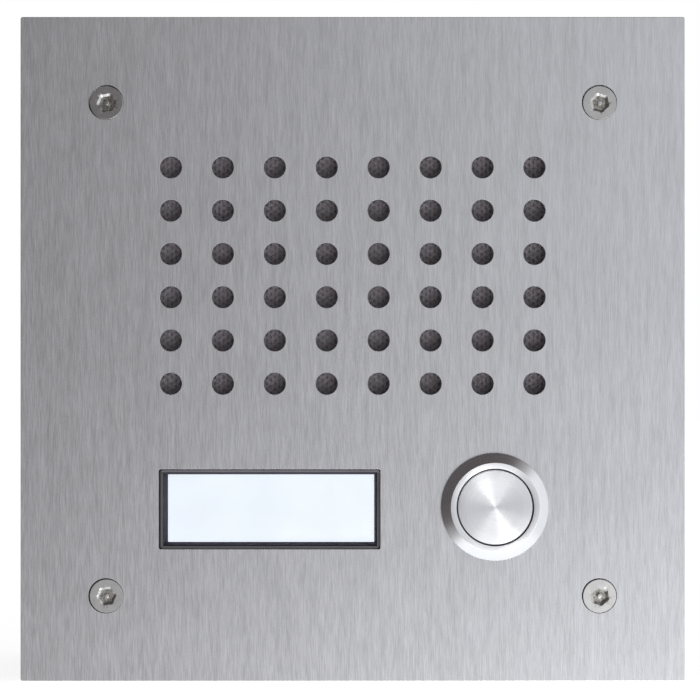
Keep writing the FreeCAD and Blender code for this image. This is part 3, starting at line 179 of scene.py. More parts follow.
class Workpiece:
    """One mesh under way: it starts as a primitive or a copy of a node and is shaped step by step."""

    def __init__(self, name: str, item: bpy.types.Object) -> None:
        """Take up an object and name it."""
        self.item = item
        item.name = item.data.name = name

    @classmethod
    def added(cls, name: str, add: Callable, **settings: object) -> Self:
        """Start from a primitive.

        Args:
            name: The name of the piece.
            add: The operator that adds the primitive.
            **settings: The operator's settings.

        Returns:
            The primitive, with its place and turn in its mesh.
        """
        clear_selection()
        add(**settings)
        return cls(name, bpy.context.object).settled()

    @classmethod
    def block(cls, name: str, low: Vector, high: Vector) -> Self:
        """Start from a block between its lowest and its highest corner, which are in metres."""
        return cls.added(name, bpy.ops.mesh.primitive_cube_add, size=1, location=(high + low) / 2, scale=high - low)

    @classmethod
    def turned(cls, name: str, profile: Profile, centre: Vector = HOME, steps: int = 96, ring: bool = False) -> Self:
        """Turn a profile about an axis that runs along the depth.

        Args:
            name: The name of the piece.
            profile: Points of the profile, each a radius and a depth in millimetres.
            centre: A point on the axis, in metres.
            steps: The number of steps of the turn.
            ring: Whether the profile's end joins its start, instead of both lying on the axis.

        Returns:
            The turned piece.
        """
        piece = cls.added(name, bpy.ops.mesh.primitive_plane_add, size=MM, location=HOME)
        outline = [*profile, profile[0]] if ring else profile
        places = [Vector((centre.x + radius * MM, depth * MM, centre.z)) for radius, depth in outline]
        piece.open(Pick.VERTEX)
        bpy.ops.mesh.merge(type="CENTER")
        bpy.ops.transform.translate(value=places[0])
        for start, end in zip(places, places[1:]):
            bpy.ops.mesh.extrude_region_move(TRANSFORM_OT_translate={"value": end - start})
        bpy.ops.mesh.select_all(action="SELECT")
        bpy.ops.mesh.spin(steps=steps, angle=math.tau, center=(centre.x, 0, centre.z), axis=(0, 1, 0))
        return piece.closed().merged().faced()

    @classmethod
    def from_node(cls, name: str, node: str) -> Self:
        """Start from a copy of a node, with its loose triangles merged into flat faces.

        Args:
            name: The name of the piece.
            node: The node to copy.

        Returns:
            The copy.
        """
        clear_selection()
        item = bpy.data.objects.new(name, frame["nodes"][node].data.copy())
        bpy.context.scene.collection.objects.link(item)
        item.data.materials.clear()
        piece = cls(name, item).merged()
        return piece.edited(bpy.ops.mesh.dissolve_limited, Pick.FACE, angle_limit=math.radians(0.5))

    def hold(self) -> None:
        """Make this the only selected object, and the active one."""
        clear_selection()
        self.item.select_set(True)
        bpy.context.view_layer.objects.active = self.item

    def open(self, pick: Pick, wanted: Test | None = None) -> None:
        """Open the mesh for editing, with all of it selected or the elements that pass a test.

        Args:
            pick: The kind of element to edit.
            wanted: The test on one element.
        """
        mode, elements = pick.value
        self.hold()
        bpy.ops.object.mode_set(mode="EDIT")
        bpy.ops.mesh.select_mode(type=mode)
        bpy.ops.mesh.select_all(action="DESELECT" if wanted else "SELECT")
        if wanted:
            for element in getattr(bmesh.from_edit_mesh(self.item.data), elements):
                element.select_set(wanted(element))
            bmesh.update_edit_mesh(self.item.data)

    def closed(self) -> Self:
        """End editing."""
        bpy.ops.object.mode_set(mode="OBJECT")
        return self

    def edited(self, edit: Callable, pick: Pick, wanted: Test | None = None, **settings: object) -> Self:
        """Run one edit on the whole mesh, or on the elements that pass a test.

        Args:
            edit: The operator.
            pick: The kind of element that it works on.
            wanted: The test on one element.
            **settings: The operator's settings.

        Returns:
            This piece.
        """
        self.open(pick, wanted)
        edit(**settings)
        return self.closed()

    def merged(self) -> Self:
        """Merge points that lie on each other."""
        return self.edited(bpy.ops.mesh.remove_doubles, Pick.VERTEX, threshold=0.0005 * MM)

    def faced(self) -> Self:
        """Turn every face outwards."""
        return self.edited(bpy.ops.mesh.normals_make_consistent, Pick.FACE, inside=False)

    def turned_by(self, angle: float, axis: str, centre: Vector) -> Self:
        """Turn the mesh by degrees about the axis X, Y or Z through a point, which is in metres."""
        turn = {"value": -math.radians(angle), "orient_axis": axis, "center_override": centre}
        return self.edited(bpy.ops.transform.rotate, Pick.VERTEX, **turn)

    def bevel_edges(self, width: float, segments: int, wanted: Test) -> Self:
        """Round the edges that pass a test, over a width in millimetres and with a number of faces."""
        size = {"offset": width * MM, "segments": segments, "profile": 0.5}
        return self.edited(bpy.ops.mesh.bevel, Pick.EDGE, wanted, affect="EDGES", clamp_overlap=True, **size)

    def settled(self) -> Self:
        """Put the object's place, turn and scale into its mesh.

        Returns:
            This piece.
        """
        self.hold()
        bpy.ops.object.transform_apply(location=True, rotation=True, scale=True)
        return self

    def modified(self, kind: str, **settings: object) -> Self:
        """Add a modifier and apply it.

        Args:
            kind: The modifier's type.
            **settings: Its options, by name.

        Returns:
            This piece.
        """
        self.hold()
        modifier = self.item.modifiers.new(kind.lower(), kind)
        for key, value in settings.items():
            setattr(modifier, key, value)
        bpy.ops.object.modifier_apply(modifier=modifier.name)
        return self

    def rounded(self, width: float, segments: int) -> Self:
        """Round every sharp edge, over a width in millimetres and with a number of faces."""
        size = {"width": width * MM, "segments": segments}
        return self.modified("BEVEL", limit_method="ANGLE", angle_limit=math.radians(50), **size)

    def flat_faced(self) -> Self:
        """Shade large faces as flat right up to their rounded edges.

        Returns:
            This piece.
        """
        self.hold()
        bpy.ops.object.shade_smooth_by_angle(angle=math.radians(30))
        return self.modified("WEIGHTED_NORMAL", keep_sharp=True)

    def drop(self) -> None:
        """Remove this piece."""
        bpy.data.objects.remove(self.item, do_unlink=True)

    def cut(self, cutter: "Workpiece") -> Self:
        """Cut another piece's shape out of this one, and drop the cutter.

        Args:
            cutter: The piece to cut with.

        Returns:
            This piece.
        """
        self.modified("BOOLEAN", operation="DIFFERENCE", solver="EXACT", object=cutter.item)
        cutter.drop()
        return self

    def copy(self, name: str, move: Vector) -> "Workpiece":
        """Copy this piece, with a mesh of its own, to another place.

        Args:
            name: The name of the copy.
            move: How far the copy stands from this piece, in metres.

        Returns:
            The copy.
        """
        item = self.item.copy()
        item.data = self.item.data.copy()
        item.location = move
        bpy.context.scene.collection.objects.link(item)
        return Workpiece(name, item).settled()

    def joined(self, others: Sequence["Workpiece"]) -> Self:
        """Join other pieces into this one's mesh.

        Args:
            others: The pieces to take in.

        Returns:
            This piece.
        """
        self.hold()
        for other in others:
            other.item.select_set(True)
        bpy.ops.object.join()
        return self

    def spread(self, places: Sequence[Vector]) -> "Workpiece":
        """Copy this piece to every place, join the copies and drop the piece itself.

        Args:
            places: The places of the copies, in metres.

        Returns:
            The joined copies.
        """
        copies = [self.copy(f"{self.item.name}_copy", place) for place in places]
        self.drop()
        return copies[0].joined(copies[1:])

    def other_finish(self, material: bpy.types.Material, wanted: Test) -> None:
        """Give some faces another finish than the rest.

        Args:
            material: The other finish.
            wanted: The test on one face.
        """
        mesh = self.item.data
        mesh.materials.append(material)
        for face in mesh.polygons:
            if wanted(face):
                face.material_index = len(mesh.materials) - 1

    def finished(
        self, palette: "Palette", slot: str, node: str = "", body: Body | None = Body.PANEL, angle: float = 30.0
    ) -> Self:
        """Shade and dress the piece, and let it ride on its body.

        Args:
            palette: The finishes of the object.
            slot: The record's slot that its finish comes from.
            node: The node that it stands for, if any.
            body: The body that it moves with, or nothing for a piece that is attached to no body.
            angle: Faces that meet at less than this many degrees are shaded as one surface.

        Returns:
            This piece.
        """
        self.hold()
        bpy.ops.object.shade_smooth_by_angle(angle=math.radians(angle))
        mesh = self.item.data
        mesh.materials.clear()
        mesh.materials.append(palette.get(slot))
        if body:
            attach(self.item, body.value)
        if node:
            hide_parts(node)
        carrier = body.value if body else "two bodies"
        log.info("%s: %d faces, on %s", self.item.name, len(mesh.polygons), carrier)
        return self


# Finishes -----------------------------------------------------------------------------------------


class Nodes:
    """A tree of shader nodes, built from small steps."""

    def __init__(self, tree: bpy.types.NodeTree) -> None:
        """Take up a tree."""
        self.tree = tree

    def feed(self, node: bpy.types.Node, **values: object) -> bpy.types.Node:
        """Link or set a node's inputs.

        Args:
            node: The node.
            **values: A socket to link or a value to set, by the input's name with _ for a space.

        Returns:
            The node.
        """
        for name, value in values.items():
            target = node.inputs[name.replace("_", " ")]
            if isinstance(value, bpy.types.NodeSocket):
                self.tree.links.new(value, target)
            elif isinstance(value, tuple) and len(value) == 3 and target.type == "RGBA":
                target.default_value = (*value, 1.0)
            else:
                target.default_value = value
        return node

    def add(self, kind: str, *values: object, **settings: object) -> bpy.types.Node:
        """Add a node, set its options, and link or set its first inputs.

        Args:
            kind: The node's type.
            *values: What its first inputs get, each a socket or a value.
            **settings: Its options, by name.

        Returns:
            The node.
        """
        node = self.tree.nodes.new(kind)
        for key, value in settings.items():
            setattr(node, key, value)
        for target, value in zip(node.inputs, values):
            if isinstance(value, bpy.types.NodeSocket):
                self.tree.links.new(value, target)
            else:
                target.default_value = value
        return node

    def span(self, value: bpy.types.NodeSocket, source: Span, target: Span = WHOLE) -> bpy.types.NodeSocket:
        """Carry one range of values over to another, held within it.

        Args:
            value: The value to carry.
            source: The range it comes from.
            target: The range it goes to.

        Returns:
            The new value.
        """
        (low, high), (new_low, new_high) = source, target
        node = self.add("ShaderNodeMapRange")
        self.feed(node, Value=value, From_Min=low, From_Max=high, To_Min=new_low, To_Max=new_high)
        return node.outputs["Result"]

    def maths(self, first: object, operation: str, second: object) -> bpy.types.NodeSocket:
        """Join two sockets or numbers by arithmetic."""
        return self.add("ShaderNodeMath", first, second, operation=operation).outputs[0]

    def vector(self, operation: str, result: str, *values: object) -> bpy.types.NodeSocket:
        """Do vector arithmetic and give the result of that name."""
        return self.add("ShaderNodeVectorMath", *values, operation=operation).outputs[result]

    def blend(self, share: object, first: object, second: object) -> bpy.types.NodeSocket:
        """Mix two colours by the share of the second."""
        node = self.add("ShaderNodeMix", data_type="RGBA")
        return self.feed(node, Factor=share, A=first, B=second).outputs["Result"]


class Shader(Nodes):
    """The node tree of one material."""

    def __init__(self, name: str) -> None:
        """Start a material with a plain surface shader.

        Args:
            name: The name of the material.
        """
        self.material = bpy.data.materials.new(name)
        self.material.use_nodes = True
        super().__init__(self.material.node_tree)
        self.surface = self.tree.nodes["Principled BSDF"]

    def set(self, **values: object) -> None:
        """Link or set inputs of the surface shader, by name with _ for a space."""
        self.feed(self.surface, **values)

    def place(self, scale: float | Triple = 1.0, centre: Triple = (0.0, 0.0, 0.0)) -> bpy.types.NodeSocket:
        """Give the place on the object, in millimetres about a centre, stretched by a scale.

        Args:
            scale: How many steps of a pattern one millimetre holds, in all or along X, Y and Z.
            centre: The middle of the pattern, in metres.

        Returns:
            The socket with the place.
        """
        factors = [step / MM for step in (scale if isinstance(scale, tuple) else (scale,) * 3)]
        shift = [-part * factor for part, factor in zip(centre, factors)]
        node, source = self.add("ShaderNodeMapping"), self.add("ShaderNodeTexCoord").outputs["Object"]
        return self.feed(node, Vector=source, Scale=factors, Location=shift).outputs["Vector"]

    def noise(self, place: object, detail: float = 2.0) -> bpy.types.NodeSocket:
        """Add a cloudy pattern.

        Args:
            place: The socket where it is read, or its steps in a millimetre.
            detail: How many finer layers it has.

        Returns:
            The pattern's value, from 0 to 1.
        """
        source = place if isinstance(place, bpy.types.NodeSocket) else self.place(place)
        node = self.add("ShaderNodeTexNoise")
        return self.feed(node, Vector=source, Scale=1.0, Detail=detail).outputs["Fac"]

    def uneven(self, clouds: bpy.types.NodeSocket, colour: Colour, share: float) -> bpy.types.NodeSocket:
        """Make a colour darker and lighter by a cloudy pattern.

        Args:
            clouds: The pattern.
            colour: The colour.
            share: The share of the colour that is taken off and put on.

        Returns:
            The uneven colour.
        """
        darker = tuple(part * (1 - share) for part in colour)
        lighter = tuple(min(1.0, part * (1 + share)) for part in colour)
        return self.blend(self.span(clouds, CLOUD_RANGE), darker, lighter)

    def relief(self, height: bpy.types.NodeSocket, depth: float) -> None:
        """Raise the surface by a pattern, to a depth in millimetres."""
        node = self.feed(self.add("ShaderNodeBump"), Height=height, Distance=depth * MM, Strength=1.0)
        self.set(Normal=node.outputs["Normal"])


class Finish:
    """One kind of finish, which sets up the surface of a material."""

    def dress(self, shader: Shader) -> None:
        """Set up the surface."""
        raise NotImplementedError


@dataclass(frozen=True)
class BrushedFinish(Finish):
    """Bare steel with a directional grain."""

    dark: Colour
    light: Colour
    roughness: float
    grain: Grain
    anisotropy: float = 0.6
    fine_width: float = 0.24
    broad_width: float = 1.2
    fine_share: float = 0.65
    length: float = 4.0
    depth: float = 0.004
    centre: Triple = (0.0, 0.0, 0.0)

    def dress(self, shader: Shader) -> None:
        """Set up the grain, its colours and its direction.

        Args:
            shader: The material under way.
        """
        fine_step, broad_step = 1 / self.fine_width, 1 / self.broad_width
        if self.grain is Grain.UPRIGHT:
            fine = shader.noise((fine_step, fine_step, 1 / self.length), 3.0)
            broad = shader.noise((broad_step, broad_step, 1 / (self.length * 4)))
            across = shader.add("ShaderNodeCombineXYZ", 1.0).outputs[0]
        else:
            about = shader.place((1.0, 0.0, 1.0), self.centre)
            radius = shader.vector("LENGTH", "Value", about)
            fine_ring, broad_ring = (
                shader.add("ShaderNodeCombineXYZ", shader.maths(radius, "MULTIPLY", step)).outputs[0]
                for step in (fine_step, broad_step)
            )
            fine, broad = shader.noise(fine_ring, 3.0), shader.noise(broad_ring)
            across = shader.vector("NORMALIZE", "Vector", about)
        fine_part = shader.maths(fine, "MULTIPLY", self.fine_share)
        mixed = shader.maths(fine_part, "ADD", shader.maths(broad, "MULTIPLY", 1 - self.fine_share))
        shader.set(
            Base_Color=shader.blend(shader.span(mixed, (0.33, 0.67)), self.dark, self.light),
            Roughness=shader.span(fine, SPECK_RANGE, (self.roughness - 0.03, self.roughness + 0.04)),
            Metallic=1.0,
            Anisotropic=self.anisotropy,
            Tangent=across,
        )
        shader.relief(fine, self.depth)


@dataclass(frozen=True)
class MetalFinish(Finish):
    """Plain, plated or painted metal with a faint unevenness."""

    colour: Colour
    roughness: float
    metallic: float = 1.0
    unevenness: float = 0.12
    patch: float = 1.5
    depth: float = 0.003

    def dress(self, shader: Shader) -> None:
        """Set up the colour in patches and the small specks.

        Args:
            shader: The material under way.
        """
        specks = shader.noise(5.0)
        roughness = (self.roughness * 0.85, min(1.0, self.roughness * 1.15))
        shader.set(
            Base_Color=shader.uneven(shader.noise(1 / self.patch, 3.0), self.colour, self.unevenness),
            Roughness=shader.span(specks, SPECK_RANGE, roughness),
            Metallic=self.metallic,
        )
        shader.relief(specks, self.depth)


@dataclass(frozen=True)
class MouldedFinish(Finish):
    """Moulded plastic, rubber, card or lacquer with a fine texture."""

    colour: Colour
    roughness: float
    texture: float = 0.35
    depth: float = 0.006
    unevenness: float = 0.08
    glow: float = 0.0
    gloss: float = 0.5
    patches: float = 0.12

    def dress(self, shader: Shader) -> None:
        """Set up the colour, the texture and the glow, if it has one.

        Args:
            shader: The material under way.
        """
        texture = shader.noise(1 / self.texture)
        colour = shader.uneven(shader.noise(self.patches), self.colour, self.unevenness)
        roughness = (self.roughness * 0.9, min(1.0, self.roughness * 1.1))
        shader.set(
            Base_Color=colour,
            Roughness=shader.span(texture, SPECK_RANGE, roughness),
            Specular_IOR_Level=self.gloss,
        )
        # On the name card this glow is painted light.
        if self.glow:
            shader.set(Emission_Color=colour, Emission_Strength=self.glow)
        shader.relief(texture, self.depth)


@dataclass(frozen=True)
class FoamFinish(Finish):
    """Closed-cell foam rubber, with small open cells on its skin."""

    colour: Colour
    cell: float = 0.6
    depth: float = 0.12

    def dress(self, shader: Shader) -> None:
        """Set up the cells.

        Args:
            shader: The material under way.
        """
        cells = shader.feed(shader.add("ShaderNodeTexVoronoi"), Vector=shader.place(1 / self.cell), Scale=1.0)
        wall = cells.outputs["Distance"]
        # The cell pits are darker towards their middles: painted shade.
        painted_shade_colour = tuple(part * 0.5 for part in self.colour)
        shader.set(Base_Color=shader.blend(shader.span(wall, (0.1, 0.6)), painted_shade_colour, self.colour), Roughness=0.95)
        shader.relief(wall, self.depth)


@dataclass(frozen=True)
class ClearFinish(Finish):
    """Clear sheet that the name card is seen through."""

    tint: Colour
    roughness: float = 0.03

    def dress(self, shader: Shader) -> None:
        """Set up the clear body and the faint smears on it.

        Args:
            shader: The material under way.
        """
        roughness = (self.roughness * 0.5, self.roughness * 1.5)
        shader.set(
            Base_Color=self.tint,
            Roughness=shader.span(shader.noise(0.2, 3.0), SPECK_RANGE, roughness),
            Transmission_Weight=1.0,
            IOR=1.49,
        )


@dataclass(frozen=True)
class LaminateFinish(Finish):
    """Glass laminate under solder resist, with tracks that show through it."""

    colour: Colour
    track: Colour
    pitch: float = 2.54
    track_width: float = 0.09
    depth: float = 0.03

    def dress(self, shader: Shader) -> None:
        """Set up the tracks and the weave of the glass.

        Args:
            shader: The material under way.
        """
        turn = shader.add("ShaderNodeMapping", shader.place(1 / self.pitch))
        shader.feed(turn, Rotation=(RIGHT_ANGLE, 0.0, 0.0))
        layout = {"offset": 0.37, "offset_frequency": 3, "squash": 1.6, "squash_frequency": 2}
        bricks = shader.add("ShaderNodeTexBrick", turn.outputs["Vector"], **layout)
        shader.feed(bricks, Scale=1.0, Mortar_Size=self.track_width, Brick_Width=2.6, Row_Height=1.0)
        tracks = bricks.outputs["Fac"]
        shader.set(
            Base_Color=shader.blend(tracks, self.colour, self.track),
            Roughness=shader.span(shader.noise(2.5, 1.0), SPECK_RANGE, (0.22, 0.34)),
        )
        shader.relief(tracks, self.depth)


@dataclass(frozen=True)
class FeltFrontFinish(Finish):
    """A drawn metal can whose front is covered with dark felt."""

    can: Colour
    felt: Colour
    border: float
    fade: float = 0.02

    def dress(self, shader: Shader) -> None:
        """Set up the felt in front of the border's depth and the metal behind it.

        Args:
            shader: The material under way.
        """
        depth = shader.add("ShaderNodeSeparateXYZ", shader.place()).outputs["Y"]
        behind = shader.span(depth, (self.border - self.fade, self.border + self.fade))
        shader.set(
            Base_Color=shader.blend(behind, self.felt, self.can),
            Roughness=shader.span(behind, WHOLE, (0.95, 0.3)),
            Metallic=behind,
        )
        shader.relief(shader.noise(6.0, 3.0), 0.01)


@dataclass(frozen=True)
class WireFinish(Finish):
    """Enamelled wire wound in close turns."""

    colour: Colour
    pitch: float = 0.22
    depth: float = 0.05

    def dress(self, shader: Shader) -> None:
        """Set up the turns of the wire.

        Args:
            shader: The material under way.
        """
        wave = shader.add("ShaderNodeTexWave", bands_direction="Y", wave_profile="SIN")
        shader.feed(wave, Vector=shader.place((1.0, 1 / self.pitch, 1.0)), Scale=0.314)
        turns = wave.outputs["Fac"]
        # The grooves between the turns are darker: painted shade.
        painted_shade_colour = tuple(part * 0.35 for part in self.colour)
        shader.set(Base_Color=shader.blend(turns, painted_shade_colour, self.colour), Roughness=0.3, Metallic=1.0)
        shader.relief(turns, self.depth)


FINISHES: dict[str, Finish] = {
    "brushed_plate": BrushedFinish((0.575, 0.575, 0.59), (0.745, 0.745, 0.77), 0.27, Grain.UPRIGHT, anisotropy=0.4),
    "turned_steel": BrushedFinish(
        (0.89, 0.892, 0.915),
        (0.975, 0.98, 1.0),
        0.285,
        Grain.ROUND,
        anisotropy=1.0,
        fine_width=0.12,
        centre=BUTTON_AXIS,
    ),
    "cut_steel": BrushedFinish(
        (0.88, 0.88, 0.89), (0.95, 0.95, 0.96), 0.20, Grain.ROUND, anisotropy=0.5, fine_width=0.12, centre=BUTTON_AXIS
    ),
    # Darker, rougher steel for the floor of the screw recess.
    "darker_recess_floor_steel": MetalFinish((0.36, 0.345, 0.315), 0.34, unevenness=0.5, patch=0.35),
    "screw_steel": MetalFinish((0.6, 0.59, 0.58), 0.26, unevenness=0.05, patch=1.5, depth=0.0004),
    "zinc_steel": MetalFinish((0.62, 0.64, 0.67), 0.32),
    "spring_steel": MetalFinish((0.45, 0.45, 0.46), 0.25),
    "black_basket": MetalFinish((0.03, 0.03, 0.032), 0.42, metallic=0.0),
    "black_mesh": MetalFinish((0.157, 0.138, 0.154), 0.5, metallic=0.0, unevenness=0.35, patch=0.4),
    # Darker cloth than the bars, seen through the cells: painted shade inside the cells.
    "mesh_cloth_painted_shade": MetalFinish((0.126, 0.111, 0.124), 0.7, metallic=0.0, unevenness=0.35, patch=0.4),
    "ferrite": MetalFinish((0.07, 0.07, 0.075), 0.6, metallic=0.2, depth=0.02),
    "film": MouldedFinish((0.62, 0.52, 0.32), 0.35, texture=1.2, depth=0.01),
    "copper": WireFinish((0.78, 0.36, 0.18)),
    "brass": MetalFinish((0.78, 0.58, 0.27), 0.28),
    "black_moulding": MouldedFinish((0.076, 0.071, 0.072), 0.6, texture=0.3, depth=0.004, gloss=0.3),
    # Darker bluish moulding for the walls that look at the label: painted shade.
    "painted_shade_moulding": MouldedFinish((0.052, 0.048, 0.066), 0.85, texture=0.3, depth=0.004, gloss=0.2),
    # Lighter moulding for the lip's flat front: a painted highlight line.
    "painted_highlight_moulding": MouldedFinish((0.112, 0.107, 0.119), 0.45, texture=0.3, depth=0.004),
    # Lighter moulding for the upward-facing faces of the lip's outer rounding: a painted highlight.
    "painted_top_highlight_moulding": MouldedFinish((0.30, 0.285, 0.325), 0.5, texture=0.3, depth=0.004),
    "clear_lens": ClearFinish((0.97, 0.985, 1.0)),
    # The card's glow is painted light, standing in for light that reaches it through the cover.
    "white_card": MouldedFinish((0.884, 0.905, 0.928), 0.75, texture=0.15, depth=0.003, unevenness=0.01, glow=0.34),
    "white_diffuser": MouldedFinish((0.85, 0.86, 0.86), 0.55, glow=0.2),
    "green_laminate": LaminateFinish((0.012, 0.13, 0.055), (0.03, 0.24, 0.09)),
    "led_package": MouldedFinish((0.85, 0.78, 0.42), 0.2, glow=0.4),
    "black_rubber": MouldedFinish((0.02, 0.02, 0.021), 0.7, texture=0.2, depth=0.01),
    "black_foam": FoamFinish((0.035, 0.035, 0.037)),
    "grey_box": MouldedFinish((0.085, 0.09, 0.098), 0.55, texture=0.4, depth=0.02),
    "grey_insulator": MouldedFinish((0.10, 0.10, 0.105), 0.5),
    "brown_insulator": MouldedFinish((0.16, 0.075, 0.03), 0.6, texture=0.25, unevenness=0.2),
    "capsule_can": FeltFrontFinish((0.80, 0.80, 0.81), (0.02, 0.02, 0.02), 0.95),
    "black_epoxy": MouldedFinish((0.014, 0.014, 0.015), 0.55, texture=0.12, depth=0.006),
    "black_sleeve": MouldedFinish((0.012, 0.012, 0.022), 0.3),
    "white_nylon": MouldedFinish((0.74, 0.72, 0.64), 0.45),
    "green_nylon": MouldedFinish((0.015, 0.25, 0.09), 0.45),
    "blue_trimmer": MouldedFinish((0.012, 0.07, 0.33), 0.3),
}


class Palette:
    """Every finish of the object, built once and handed out by its slot's name."""

    def __init__(self) -> None:
        """Start with no finish built."""
        self.built: dict[str, bpy.types.Material] = {}

    def get(self, slot: str) -> bpy.types.Material:
        """Give the material of a slot.

        Args:
            slot: The slot's name in the record.

        Returns:
            The material.
        """
        if slot not in self.built:
            shader = Shader(slot)
            FINISHES[slot].dress(shader)
            self.built[slot] = shader.material
        return self.built[slot]

    def dress_nodes(self) -> None:
        """Give every node of the frame the finish of its slot."""
        for row in frame["record"]["subparts"]:
            materials = frame["nodes"][row["node"]].data.materials
            material = self.get(row["material_slot"])
            for place in range(len(materials)):
                materials[place] = material
            if not materials:
                materials.append(material)


# Sub-assemblies -----------------------------------------------------------------------------------


@dataclass
class NameWindow:
    """The front rim of the name frame, which the plate's window goes round."""

    half_width: float = 25.5
    half_height: float = 9.15

    def __post_init__(self) -> None:
        """Find the rim's front and middle from the frame's box, in metres."""
        low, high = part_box("nameplate_frame")
        self.front, self.middle = low.y, (low + high) / 2

    def inset(self, place: Vector) -> float:
        """Measure how far inside the rim a point lies, in millimetres."""
        away = (place - self.middle) / MM
        return min(self.half_width - abs(away.x), self.half_height - abs(away.z))


@dataclass
class FacePlate:
    """The steel front plate, with sound holes, name window, button hole and countersinks."""

    palette: Palette
    window: NameWindow
    corner: float = 0.5
    edge: float = 0.16
    hole_radius: float = 2.5
    hole_edge: float = 0.10
    hole_flare: float = 0.6
    hole_blend: float = 0.05
    column_pitch: float = 12.0
    row_pitch: float = 10.0
    columns: int = 8
    rows: int = 6
    holes_middle: float = 17.0
    screw_offset: float = 57.0
    sink_radius: float = 4.06
    sink_wall: float = 0.45
    clearance_radius: float = 2.2
    button_radius: float = 11.2
    window_gap: float = 0.1
    window_corner: float = 0.5
    window_round: float = 0.04
    window_reach: float = 0.16
    cutter_reach: float = 1.0
    sides: int = 48

    def hole_places(self) -> list[Vector]:
        """List the middles of the sound holes.

        Returns:
            One place for each hole, in metres.
        """
        left = -self.column_pitch * (self.columns - 1) / 2
        low = self.holes_middle - self.row_pitch * (self.rows - 1) / 2
        return [
            Vector((left + self.column_pitch * column, 0, low + self.row_pitch * row)) * MM
            for column in range(self.columns)
            for row in range(self.rows)
        ]

    def screw_places(self) -> list[Vector]:
        """List the four screws' middles, in metres."""
        offset = self.screw_offset
        return [Vector((side * offset, 0, end * offset)) * MM for side in (-1, 1) for end in (-1, 1)]

    def cutters(self, front: float, rear: float) -> Workpiece:
        """Model one cutter of each kind and copy it to every place.

        Args:
            front: The depth of the front face, in millimetres.
            rear: The depth of the rear face, in millimetres.

        Returns:
            All the cutters, joined.
        """
        out, past, wall = front - self.cutter_reach, rear + self.cutter_reach, front + self.sink_wall
        hole, sink, shank, button = self.hole_radius, self.sink_radius, self.clearance_radius, self.button_radius
        lip, lip_end = hole + self.hole_edge, front + self.hole_edge
        sound = [(0, out), (lip + self.hole_flare, out), (lip, front), (hole, lip_end), (hole, past), (0, past)]
        countersink = [(0, out), (sink, out), (sink, wall), (shank, wall + sink - shank), (shank, past), (0, past)]
        bore = [(0, out), (button, out), (button, past), (0, past)]
        sounds = Workpiece.turned("sound_cutter", soften(sound, self.hole_blend, [3]), steps=self.sides)
        sinks = Workpiece.turned("sink_cutter", countersink, steps=self.sides)
        others = [
            sounds.spread(self.hole_places()),
            sinks.spread(self.screw_places()),
            Workpiece.turned("button_cutter", bore, Vector(BUTTON_AXIS)),
        ]
        return self.window_cutter(front, past).joined(others)

    def window_cutter(self, front: float, past: float) -> Workpiece:
        """Model the cutter of the name window, which flares so that the cut edge is rounded.

        Args:
            front: The depth of the front face, in millimetres.
            past: The depth at which the cutter ends behind the plate, in millimetres.

        Returns:
            The cutter.
        """
        centre, gap, flare = self.window.middle / MM, self.window_gap, self.window_round
        across, up = self.window.half_width + gap, self.window.half_height + gap
        low = Vector((centre.x - across, front + flare, centre.z - up)) * MM
        high = Vector((centre.x + across, past, centre.z + up)) * MM
        middle, (width, height) = (low + high) / 2, (high - low).xz / MM
        cutter = Workpiece.block("window_cutter", low, high)
        cutter.bevel_edges(self.window_corner, 5, runs_deep)
        cutter.open(Pick.FACE, looks_out)
        for rise, spread in QUARTER_ROUND:
            grow = 2 * spread * flare
            pull(rise * flare)
            stretch((width + grow) / width, (height + grow) / height, middle)
            width, height = width + grow, height + grow
        pull(self.window_reach)
        return cutter.closed().faced()

    def build(self) -> None:
        """Model the plate."""
        low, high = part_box("front_plate")
        plate = Workpiece.block("face_plate", low, high).bevel_edges(self.corner, 4, runs_deep)
        plate.bevel_edges(self.edge, 3, on_front(low.y)).cut(self.cutters(low.y / MM, high.y / MM))
        plate.finished(self.palette, "brushed_plate", "front_plate", angle=10.0)


